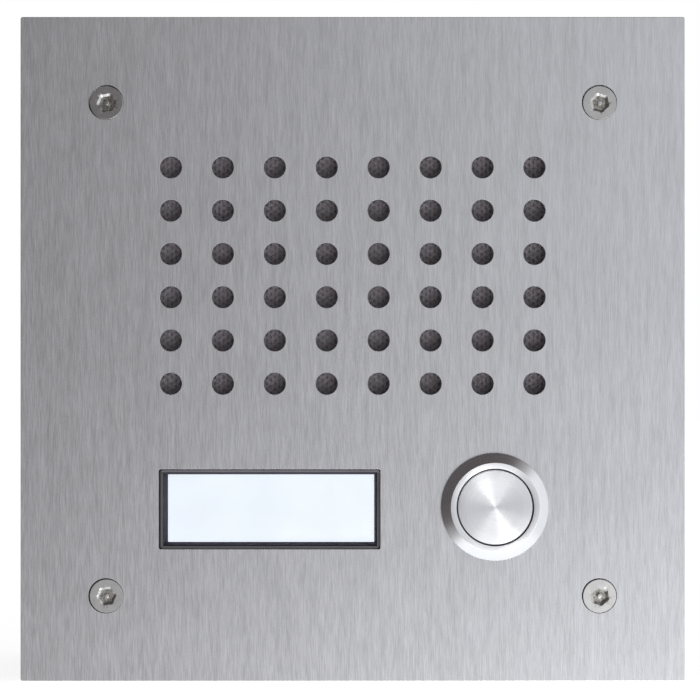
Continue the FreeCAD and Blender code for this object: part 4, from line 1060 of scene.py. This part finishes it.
@dataclass
class SoundMesh:
    """The dark sheet behind the sound holes, pierced with six-sided cells behind each of them, on a thin cloth."""

    palette: Palette
    plate: FacePlate
    column_pitch: float = 0.99
    row_pitch: float = 1.5
    bar: float = 0.33
    sheet: float = 0.2
    sheet_gap: float = 0.02
    cloth: float = 0.25
    reach: float = 3.1
    overlap: float = 0.1
    cutter_length: float = 2.0

    def patch(self, depth: float) -> Workpiece:
        """Model one cell and copy it over one patch.

        Args:
            depth: The depth of the patch's front, in metres.

        Returns:
            The patch, about the origin.
        """
        radius = self.column_pitch / 1.5
        cell = Workpiece.added(
            "cell",
            bpy.ops.mesh.primitive_circle_add,
            vertices=6,
            radius=radius * MM,
            fill_type="NGON",
            location=(0, depth, 0),
            rotation=(RIGHT_ANGLE, RIGHT_ANGLE, 0),
        )
        cell.open(Pick.FACE)
        stretch(1, self.row_pitch / (radius * math.sqrt(3)))
        bpy.ops.mesh.inset(thickness=self.bar * MM, depth=0)
        bpy.ops.mesh.delete(type="FACE")
        around = range(-4, 5)
        places = [
            Vector((line * self.column_pitch, 0, (step + (line % 2) / 2) * self.row_pitch)) * MM
            for line in around
            for step in around
        ]
        near = [place for place in places if place.length < self.reach * MM]
        patch = cell.closed().spread(near).merged().faced()
        return patch.modified("SOLIDIFY", thickness=self.sheet * MM, offset=0.0)

    def build(self) -> None:
        """Model the sheet, sink it down to its cloth behind each sound hole, and set a pierced patch there."""
        low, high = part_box("grille_mesh")
        places = self.plate.hole_places()
        sunk = high.y - self.cloth * MM
        opening = Workpiece.added(
            "opening",
            bpy.ops.mesh.primitive_cylinder_add,
            vertices=12,
            radius=(self.reach - self.overlap) * MM,
            depth=self.cutter_length * MM,
            location=(0, sunk - self.cutter_length * MM / 2, 0),
            rotation=(RIGHT_ANGLE, 0, 0),
        )
        sheet = Workpiece.block("sound_mesh", low, high).cut(opening.spread(places))
        patches = self.patch(low.y + (self.sheet / 2 + self.sheet_gap) * MM).spread(places)
        sheet.joined([patches]).finished(self.palette, "black_mesh", "grille_mesh", angle=20.0)
        # The cloth faces seen through the cells get the darker cloth finish, a painted shade.
        sheet.other_finish(
            self.palette.get("mesh_cloth_painted_shade"), lambda face: looks_out(face) and abs(face.center.y - sunk) < ON_PLANE
        )


@dataclass
class CoverScrews:
    """Four countersunk security screws with a six-lobed recess and a pin."""

    palette: Palette
    plate: FacePlate
    head_radius: float = 3.9
    head_top: float = -3.8
    head_blend: float = 0.09
    shank_radius: float = 2.0
    length: float = 16.0
    recess_radius: float = 2.5
    recess_flare: float = 0.34
    recess_taper: float = 0.745
    recess_waist: float = 0.79
    recess_depth: float = 1.15
    cutter_reach: float = 0.5
    lobe_round: float = 0.54
    rings: Triple = (0.4, 0.35, 0.2)
    rim_height: float = 0.2
    rim_draft: float = 0.02
    tip: float = 0.5
    pin_radius: float = 0.58
    pin_round: float = 0.15
    pin_sink: float = 0.1
    pin_root: float = 0.2
    tilt_share: float = 0.7
    seat_shift: float = 0.1
    corners: tuple[str, ...] = ("bottom_left", "top_left", "bottom_right", "top_right")
    turns: tuple[float, ...] = (23.0, -38.0, -10.0, 47.0)
    tilts: tuple[float, ...] = (-0.1, 6.2, -1.2, 2.2)
    lifts: tuple[float, ...] = (0.0, 0.2, 0.0, 0.0)

    def at_waist(self, vertex: bmesh.types.BMVert) -> bool:
        """Tell whether a corner of the recess's twelve is one of the six between its lobes."""
        return round(math.degrees(math.atan2(vertex.co.z, vertex.co.x)) / 30) % 2 == 0

    def recess_cutter(self) -> Workpiece:
        """Model the six-lobed recess as a solid.

        Returns:
            The cutter, about the origin.
        """
        lobes = Workpiece.added(
            "recess",
            bpy.ops.mesh.primitive_circle_add,
            vertices=12,
            radius=self.recess_radius * MM,
            fill_type="NGON",
            location=(0, (self.head_top + self.recess_depth) * MM, 0),
            rotation=(RIGHT_ANGLE, 0, 0),
        )
        lobes.open(Pick.VERTEX, self.at_waist)
        stretch(self.recess_waist, self.recess_waist)
        bpy.ops.mesh.select_all(action="SELECT")
        bpy.ops.mesh.bevel(offset=self.lobe_round * MM, segments=4, affect="VERTICES")
        lobes.open(Pick.FACE)
        stretch(self.recess_taper, self.recess_taper)
        pull(self.recess_depth - self.recess_flare)
        pull(self.recess_flare)
        stretch(1 / self.recess_taper, 1 / self.recess_taper)
        pull(self.cutter_reach)
        return lobes.closed().faced()

    def screw(self) -> Workpiece:
        """Model one screw at the origin.

        Returns:
            The screw.
        """
        top, head, shank, pin = self.head_top, self.head_radius, self.shank_radius, self.pin_radius
        end, pin_top, floor = top + self.length, top + self.pin_sink, top + self.recess_depth + self.pin_root
        inner, middle, outer = self.rings
        profile = [
            (0, top),
            (self.recess_radius + inner, top),
            (head - middle, top),
            (head - outer, top),
            (head, top),
            (head - self.rim_draft, top + self.rim_height),
            (shank, top + head - shank),
            (shank, end - self.tip),
            (shank - self.tip, end),
            (0, end),
        ]
        screw = Workpiece.turned("screw", soften(profile, self.head_blend, [4]), steps=72).cut(self.recess_cutter())
        pin_profile = soften([(0, pin_top), (pin, pin_top), (pin, floor), (0, floor)], self.pin_round, [1])
        return screw.joined([Workpiece.turned("pin", pin_profile, steps=24)])

    def build(self) -> None:
        """Model one screw, and copy it to the four corners with its own turn, tilt and height."""
        model = self.screw()
        rows = zip(self.corners, self.plate.screw_places(), self.turns, self.tilts, self.lifts)
        for corner, middle, turn, tilt, lift in rows:
            place = middle + Vector((self.seat_shift, -lift, -self.seat_shift)) * MM
            seat = place + Vector((0, self.head_top * MM, 0))
            lean = -tilt * self.tilt_share
            screw = model.copy(f"screw_{corner}", place).turned_by(turn, "Y", place)
            screw.turned_by(lean, "X", seat).turned_by(lean, "Z", seat)
            screw.finished(self.palette, "screw_steel", "cover_screws", angle=35.0)
            # The floor of the recess gets the darker, rougher steel.
            floor = (self.head_top + self.recess_depth - lift - 0.1) * MM
            screw.other_finish(
                self.palette.get("darker_recess_floor_steel"),
                lambda face: face.center.y > floor and (face.center - place).xz.length < self.recess_radius * MM,
            )
        model.drop()


@dataclass
class NamePlate:
    """The black frame of the name window, and its clear cover."""

    palette: Palette
    window: NameWindow
    lip_round: float = 0.45
    lip_reach: float = 0.4
    ridge: float = 0.62
    left_ridge: float = 0.2
    left_wall: float = 0.45
    foot_depth: float = -0.5
    foot_inset: Span = (1.2, 1.4)
    lean: float = 0.67
    slope_reach: float = 0.8
    cutter_reach: float = 0.5
    shade_depth: float = -0.4
    cover_edge: float = 0.15

    def slope_cutter(self) -> Workpiece:
        """Model the cutter that leaves the lip sloping down towards the label.

        Returns:
            The cutter.
        """
        window = self.window
        front = Vector((window.middle.x, window.front, window.middle.z))
        inner = self.ridge + self.slope_reach * self.lean
        outer = self.ridge - self.cutter_reach * self.lean
        width, height = window.half_width - inner, window.half_height - inner
        low = front + Vector((-width, -self.cutter_reach, -height)) * MM
        high = front + Vector((width, self.slope_reach, height)) * MM
        cutter = Workpiece.block("slope_cutter", low, high)
        cutter.open(Pick.FACE, looks_out)
        stretch((window.half_width - outer) / width, (window.half_height - outer) / height, front)
        cutter.open(Pick.FACE, lambda face: face.normal.x < -0.7)
        bpy.ops.transform.translate(value=(self.left_ridge * MM, 0, 0))
        return cutter.closed().faced()

    def at_outer_lip(self, edge: bmesh.types.BMEdge) -> bool:
        """Tell whether an edge is part of the lip's outer edge.

        Args:
            edge: The edge.

        Returns:
            Whether it lies in the front, near the rim, and is sharp.
        """
        ends = [vertex.co for vertex in edge.verts]
        flat = all(abs(end.y - self.window.front) < ON_PLANE for end in ends)
        near = all(self.window.inset(end) < self.lip_reach for end in ends)
        return flat and near and edge.calc_face_angle(0) > math.radians(30)

    def at_left_foot(self, edge: bmesh.types.BMEdge) -> bool:
        """Tell whether an edge is the foot of the left wall, where it meets the cover.

        Args:
            edge: The edge.

        Returns:
            Whether both its ends lie at the foot's depth and distance from the rim.
        """
        near, far = self.foot_inset
        return all(
            abs(end.co.y - self.foot_depth * MM) < 2 * ON_PLANE
            and near < self.window.inset(end.co) < far
            and end.co.x < self.window.middle.x
            for end in edge.verts
        )

    # Faces that pass this test get the darker moulding, a painted shade.
    def gets_painted_shade(self, face: bpy.types.MeshPolygon) -> bool:
        """Tell whether a face is part of the walls that look at the label.

        Args:
            face: The face.

        Returns:
            Whether it lies inside the ridge and looks towards the middle.
        """
        inwards = face.normal.xz.dot((self.window.middle - face.center).xz)
        inside = face.center.y < self.shade_depth * MM and self.window.inset(face.center) > self.ridge
        return inside and inwards > 10 * ON_PLANE

    def build(self) -> None:
        """Model the frame with its rounded and sloping lip, and the cover."""
        window, get = self.window, self.palette.get
        piece = Workpiece.from_node("name_frame", "nameplate_frame")
        piece.edited(
            bpy.ops.transform.translate, Pick.EDGE, self.at_left_foot, value=(self.left_wall * MM, 0, 0)
        )
        piece.bevel_edges(self.lip_round, 3, self.at_outer_lip).cut(self.slope_cutter())
        piece.finished(self.palette, "black_moulding", "nameplate_frame")
        # Painted shade on the walls that look at the label.
        piece.other_finish(get("painted_shade_moulding"), self.gets_painted_shade)
        # A painted highlight line on the lip's flat front.
        piece.other_finish(
            get("painted_highlight_moulding"), lambda face: face.center.y < window.front + ON_PLANE and face.normal.y < -0.99
        )
        # A painted highlight on the upward-facing faces of the lip's outer rounding.
        piece.other_finish(
            get("painted_top_highlight_moulding"),
            lambda face: window.inset(face.center) < self.lip_round and face.normal.z > 0.2 and face.normal.y < -0.1,
        )
        low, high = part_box("nameplate_lens")
        cover = Workpiece.block("name_cover", low, high).bevel_edges(self.cover_edge, 2, on_front(low.y))
        cover.finished(self.palette, "clear_lens", "nameplate_lens")


@dataclass
class CallButton:
    """The turned bezel with its barrel, and the push cap that moves in it."""

    palette: Palette
    bezel_front: float = -6.5
    bezel_rear: float = -4.4
    bezel_edge: float = 0.5
    bezel_blend: float = 0.07
    bezel_radius: float = 12.4
    ring_radius: float = 10.25
    bore_radius: float = 8.92
    barrel_radius: float = 11.0
    barrel_edge: float = 0.3
    rear_bore_radius: float = 8.5
    cut_slope: Span = (-0.97, -0.3)
    thread_pitch: float = 1.0
    thread_depth: float = 0.25
    thread_start: float = 0.9
    thread_turns: float = 18.5
    web_front: float = 1.0
    web_rear: float = 3.5
    guide_radius: float = 3.1
    cap_radius: float = 8.58
    cap_front: float = -6.4
    cap_rear: float = -3.4
    cap_edge: float = 0.12
    cap_blend: float = 0.05
    cap_rings: Span = (0.35, 0.7)
    seal_bite: float = 1.1
    clip_bite: float = 0.6
    clip_play: float = 0.05
    stem_radius: float = 3.0
    stem_rear: float = 8.1
    steps: int = 128

    def build(self) -> None:
        """Model the bezel, the cap and the spring."""
        axis = Vector(BUTTON_AXIS)
        self.bezel(axis)
        self.cap(axis)
        self.spring()

    def bezel(self, axis: Vector) -> None:
        """Turn the bezel and its barrel.

        Args:
            axis: A point on the button's axis, in metres.
        """
        _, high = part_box("button_housing")
        end, start = high.y / MM, self.bezel_rear + self.thread_start
        thread = [
            (self.barrel_radius - self.thread_depth * (half % 2), start + half * self.thread_pitch / 2)
            for half in range(int(self.thread_turns * 2))
        ]
        profile = [
            (self.bore_radius, self.bezel_front),
            (self.ring_radius, self.bezel_front),
            (self.bezel_radius, self.bezel_rear - self.bezel_edge),
            (self.bezel_radius, self.bezel_rear),
            (self.barrel_radius, self.bezel_rear),
            *thread,
            (self.barrel_radius - self.barrel_edge, end),
            (self.rear_bore_radius, end),
            (self.rear_bore_radius, self.web_rear),
            (self.guide_radius, self.web_rear),
            (self.guide_radius, self.web_front),
            (self.bore_radius, self.web_front),
        ]
        profile = soften(profile, self.bezel_blend, [0, 1, 2], 3)
        bezel = Workpiece.turned("bezel", profile, axis, self.steps, ring=True)
        bezel.finished(self.palette, "turned_steel", "button_housing", angle=24.0)
        rear, (least, most) = self.bezel_rear * MM, self.cut_slope
        bezel.other_finish(
            self.palette.get("cut_steel"), lambda face: face.center.y < rear and least < face.normal.y < most
        )

    def cap(self, axis: Vector) -> None:
        """Turn the cap and its stem.

        Args:
            axis: A point on the button's axis, in metres.
        """
        (seal_low, seal_high), (clip_low, clip_high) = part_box("cap_seal"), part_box("cap_clip")
        seal_front, seal_rear, clip_front = seal_low.y / MM, seal_high.y / MM, clip_low.y / MM
        clip_rear = clip_high.y / MM + self.clip_play
        groove = (seal_high.x - seal_low.x) / 2 / MM - self.seal_bite
        rim, stem, neck = self.cap_radius, self.stem_radius, self.stem_radius - self.clip_bite
        inner, outer = self.cap_rings
        profile = [
            (0.0, self.cap_front),
            (rim * inner, self.cap_front),
            (rim * outer, self.cap_front),
            (rim - self.cap_edge, self.cap_front),
            (rim, self.cap_front + self.cap_edge),
            (rim, seal_front),
            (groove, seal_front),
            (groove, seal_rear),
            (rim, seal_rear),
            (rim, self.cap_rear),
            (stem, self.cap_rear),
            (stem, clip_front),
            (neck, clip_front),
            (neck, clip_rear),
            (stem, clip_rear),
            (stem, self.stem_rear),
            (0.0, self.stem_rear),
        ]
        cap = Workpiece.turned("push_cap", soften(profile, self.cap_blend, [3, 4], 3), axis, self.steps)
        cap.finished(self.palette, "turned_steel", "button_cap", Body.CALL_BUTTON, 24.0)

    def spring(self) -> None:
        """Take the return spring over as a copy of its node, attached to no body."""
        coil = Workpiece.from_node("coil_spring", "return_spring")
        coil.finished(self.palette, "spring_steel", "return_spring", None)
        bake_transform(coil.item)


@dataclass
class SpeakerEdge:
    """The film surround of the speaker's cone: a fixed roll, and the lip that moves with the cone."""

    palette: Palette
    film: float = 0.3
    lip_radius: float = 21.6
    cone_hole: float = 20.3
    running_gap: float = 0.05
    foot: Span = (0.1, 0.56)
    inner_radii: Triple = (22.5, 24.0, 24.8)
    outer_radii: Triple = (22.3, 24.1, 24.9)
    roll_blend: float = 0.35

    def build(self) -> None:
        """Turn both pieces."""
        low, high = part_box("speaker_surround")
        axis = (low + high) / 2
        front, rear, outer = low.y / MM, high.y / MM, (high.x - low.x) / 2 / MM
        film, edge, (foot_front, foot_rear) = self.film, self.lip_radius + self.running_gap, self.foot
        (under_in, under_out, under_rim), (over_in, over_out, over_rim) = self.inner_radii, self.outer_radii
        roll = [
            (edge, front + foot_front),
            (under_in, rear - film),
            (under_out, rear - film),
            (under_rim, front),
            (outer, front),
            (outer, front + film),
            (over_rim, front + film),
            (over_out, rear),
            (over_in, rear),
            (edge, front + foot_rear),
        ]
        hole, lip_radius = self.cone_hole, self.lip_radius
        lip = [(hole, front), (lip_radius, front), (lip_radius, front + film), (hole, front + film)]
        roll = soften(roll, self.roll_blend, [1, 2, 7, 8], 5)
        fixed = Workpiece.turned("surround_roll", roll, axis, ring=True)
        fixed.finished(self.palette, "film", "speaker_surround")
        moving = Workpiece.turned("surround_lip", lip, axis, ring=True)
        moving.finished(self.palette, "film", body=Body.DIAPHRAGM)


@dataclass
class WallBox:
    """The box in the wall with its rounded edges, the foam seal of the plate and the cable grommet."""

    palette: Palette
    box_edge: float = 0.35
    seal_edge: float = 0.25
    seal_gap: float = 0.6
    grommet_round: float = 0.5
    grommet_bore: float = 5.0
    grommet_neck: float = 10.0
    grommet_lip: float = 2.0
    grommet_slope: Span = (1.2, 0.8)

    def build(self) -> None:
        """Model the three pieces."""
        box = Workpiece.from_node("wall_box", "back_box").rounded(self.box_edge, 2)
        box.finished(self.palette, "grey_box", "back_box").flat_faced()
        self.seal()
        self.grommet()

    def seal(self) -> None:
        """Model the foam ring from a block with a square window."""
        (low, high), (box_low, box_high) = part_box("wall_seal"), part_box("back_box")
        gap = Vector((self.seal_gap, 0, self.seal_gap)) * MM
        inner_low, inner_high = box_low - gap, box_high + gap
        inner_low.y, inner_high.y = low.y - MM, high.y + MM
        window = Workpiece.block("seal_window", inner_low, inner_high)
        ring = Workpiece.block("foam_seal", low, high).cut(window).rounded(self.seal_edge, 3)
        ring.finished(self.palette, "black_foam", "wall_seal").flat_faced()

    def grommet(self) -> None:
        """Turn the cable grommet."""
        low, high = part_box("cable_grommet")
        lip, neck, bore = (high.x - low.x) / 2 / MM, self.grommet_neck, self.grommet_bore
        front, rear = low.y / MM, high.y / MM
        slot, shoulder = front + self.grommet_lip, front + 2 * self.grommet_lip
        narrowing, slope = self.grommet_slope
        profile = [
            (bore, front),
            (lip, front),
            (lip, slot),
            (neck, slot),
            (neck, shoulder),
            (lip, shoulder),
            (lip - narrowing, shoulder + slope),
            (bore, rear),
        ]
        profile = soften(profile, self.grommet_round, [0, 1, 6, 7])
        grommet = Workpiece.turned("grommet", profile, (low + high) / 2, 64, ring=True)
        grommet.finished(self.palette, "black_rubber", "cable_grommet", angle=40.0)


# Studio -------------------------------------------------------------------------------------------


@dataclass(frozen=True)
class Lamp:
    """One soft lamp, placed by its direction from the object."""

    name: str
    clock: float
    off_axis: float
    depth: float
    width: float
    height: float
    radiance: float
    tint: Colour = (1.0, 0.985, 0.95)

    def hang(self) -> None:
        """Hang the lamp, so that it points at the call button."""
        target = Vector(BUTTON_AXIS)
        reach = self.depth * math.tan(math.radians(self.off_axis))
        angle = math.radians(self.clock)
        place = target + Vector((reach * math.sin(angle), -self.depth, reach * math.cos(angle)))
        data = bpy.data.lights.new(self.name, "AREA")
        data.shape, data.size, data.size_y = "RECTANGLE", self.width, self.height
        data.energy = self.radiance * math.pi * self.width * self.height
        data.color = self.tint
        item = bpy.data.objects.new(self.name, data)
        item.location = place
        item.rotation_euler = (target - place).to_track_quat("-Z", "Y").to_euler()
        bpy.context.scene.collection.objects.link(item)


@dataclass
class Studio:
    """Camera, world, lamps and floor."""

    distance: float = 0.490
    frame_width: float = 0.1617
    shift: Span = (-0.0038, -0.0013)
    near_side: Triple = (1.25, 0.0, 0.0)
    far_side: Triple = (1.013, 0.0, -1.106)
    low_side: Triple = (0.09, 0.0, -0.996)
    cone: Span = (0.7, 0.98)
    low_edge: Span = (0.60, 0.72)
    table_edge: Span = (0.03, 0.17)
    mirror_edge: Span = (0.0, -0.25)
    strength: float = 1.325
    low_strength: float = 0.32
    table_strength: float = 0.48
    room: tuple[tuple[float, Colour], ...] = (
        (-1.00, (0.069, 0.062, 0.064)),
        (-0.60, (0.082, 0.074, 0.076)),
        (-0.43, (0.118, 0.106, 0.109)),
        (-0.31, (0.190, 0.182, 0.188)),
        (-0.22, (0.235, 0.235, 0.240)),
        (-0.12, (0.275, 0.275, 0.281)),
        (-0.05, (0.350, 0.350, 0.357)),
        (0.00, (0.383, 0.383, 0.391)),
        (0.07, (0.460, 0.460, 0.469)),
        (0.13, (0.530, 0.535, 0.554)),
        (0.18, (0.570, 0.576, 0.596)),
        (0.24, (0.620, 0.626, 0.648)),
        (0.34, (0.650, 0.657, 0.679)),
        (0.50, (0.645, 0.661, 0.684)),
        (0.60, (0.630, 0.646, 0.668)),
        (1.00, (0.645, 0.661, 0.684)),
    )
    lamps: tuple[Lamp, ...] = (
        Lamp("softbox", 168.0, 32.0, 0.70, 0.56, 0.20, 2.0),
        Lamp("side", 126.0, 36.0, 0.66, 0.34, 0.22, 0.8),
        Lamp("key", 152.0, 38.0, 0.62, 0.24, 0.22, 3.4),
    )
    floor_size: float = 2.4
    floor_ahead: float = 0.6
    floor_gap: float = 0.05
    floor_glow: float = 0.82

    def build(self) -> None:
        """Set up the whole studio."""
        bpy.context.scene.view_settings.view_transform = "Standard"
        self.camera()
        self.world()
        for lamp in self.lamps:
            lamp.hang()
        self.floor()

    def camera(self) -> None:
        """Place the camera straight in front of the plate."""
        low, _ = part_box("front_plate")
        data = bpy.data.cameras.new("camera")
        data.sensor_width = 36.0
        data.lens = data.sensor_width * self.distance / self.frame_width
        data.shift_x, data.shift_y = self.shift
        item = bpy.data.objects.new("camera", data)
        item.location = (0.0, low.y - self.distance, 0.0)
        item.rotation_euler = (RIGHT_ANGLE, 0.0, 0.0)
        bpy.context.scene.collection.objects.link(item)
        bpy.context.scene.camera = item

    def world(self) -> None:
        """Make a white background and, for reflections and light, a room bright at the lower right."""
        world = bpy.data.worlds.new("studio")
        bpy.context.scene.world = world
        world.use_nodes = True
        nodes = Nodes(world.node_tree)
        ray = nodes.add("ShaderNodeTexCoord").outputs["Generated"]
        ahead, near, far, low, down = (
            nodes.vector("DOT_PRODUCT", "Value", ray, side)
            for side in ((0.0, -1.0, 0.0), self.near_side, self.far_side, self.low_side, (0.0, 0.0, -1.0))
        )
        middle, rim = nodes.span(ahead, self.cone), nodes.span(ahead, self.cone[::-1])
        slope = nodes.maths(nodes.maths(near, "MULTIPLY", middle), "ADD", nodes.maths(far, "MULTIPLY", rim))
        ramp = nodes.add("ShaderNodeValToRGB", nodes.span(slope, (-1.0, 1.0)))
        stops = ramp.color_ramp.elements
        while len(stops) < len(self.room):
            stops.new(0.5)
        for stop, (place, colour) in zip(stops, self.room):
            stop.position = (place + 1) / 2
            stop.color = (*colour, 1.0)
        lower = nodes.span(low, self.low_edge, (self.strength, self.strength + self.low_strength))
        table = nodes.maths(nodes.span(down, self.table_edge), "MULTIPLY", middle)
        lit = nodes.span(table, WHOLE, (1.0, 1.0 + self.table_strength))
        room = nodes.add("ShaderNodeVectorMath", ramp.outputs["Color"], operation="SCALE")
        nodes.feed(room, Scale=nodes.maths(lower, "MULTIPLY", lit))
        path = nodes.add("ShaderNodeLightPath").outputs
        mirrored = nodes.maths(path["Is Glossy Ray"], "MULTIPLY", nodes.span(ahead, self.mirror_edge))
        seen = nodes.maths(path["Is Camera Ray"], "MAXIMUM", path["Is Transmission Ray"])
        white = nodes.maths(seen, "MAXIMUM", mirrored)
        shown = nodes.blend(white, room.outputs["Vector"], (1.0, 1.0, 1.0))
        nodes.feed(world.node_tree.nodes["Background"], Color=shown, Strength=1.0)

    def floor(self) -> None:
        """Lay a pale floor, white to the camera but for the object's shadow.

        The strip in front of the plate is there for the camera alone, because the lamps shine from below it.
        """
        low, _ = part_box("front_plate")
        size = self.floor_size
        middle = (0, low.y - self.floor_ahead + size / 2, low.z - self.floor_gap * MM)
        grid = {"x_subdivisions": 8, "y_subdivisions": 8, "size": size, "location": middle}
        floor = Workpiece.added("floor", bpy.ops.mesh.primitive_grid_add, **grid)
        shader = Shader("floor")
        path = shader.add("ShaderNodeLightPath").outputs
        seen = shader.maths(path["Is Camera Ray"], "MAXIMUM", path["Is Glossy Ray"])
        seen = shader.maths(seen, "MAXIMUM", path["Is Transmission Ray"])
        depth = shader.add("ShaderNodeSeparateXYZ", shader.place()).outputs["Y"]
        behind = shader.maths(depth, "GREATER_THAN", low.y / MM + 0.2)
        shader.set(
            Base_Color=shader.blend(shader.noise(0.01), (0.84, 0.84, 0.84), (0.86, 0.86, 0.86)),
            Roughness=0.9,
            Emission_Color=(1.0, 1.0, 1.0),
            Emission_Strength=shader.maths(seen, "MULTIPLY", self.floor_glow),
            Alpha=shader.maths(path["Is Camera Ray"], "MAXIMUM", behind),
        )
        floor.item.data.materials.append(shader.material)


def main() -> None:
    """Build the object and its studio."""
    logging.basicConfig(level=logging.INFO, format="%(name)s: %(message)s")
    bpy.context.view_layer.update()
    palette, window = Palette(), NameWindow()
    palette.dress_nodes()
    plate = FacePlate(palette, window)
    plate.build()
    SoundMesh(palette, plate).build()
    CoverScrews(palette, plate).build()
    NamePlate(palette, window).build()
    CallButton(palette).build()
    SpeakerEdge(palette).build()
    WallBox(palette).build()
    Studio().build()


if __name__ == "__main__":
    main()
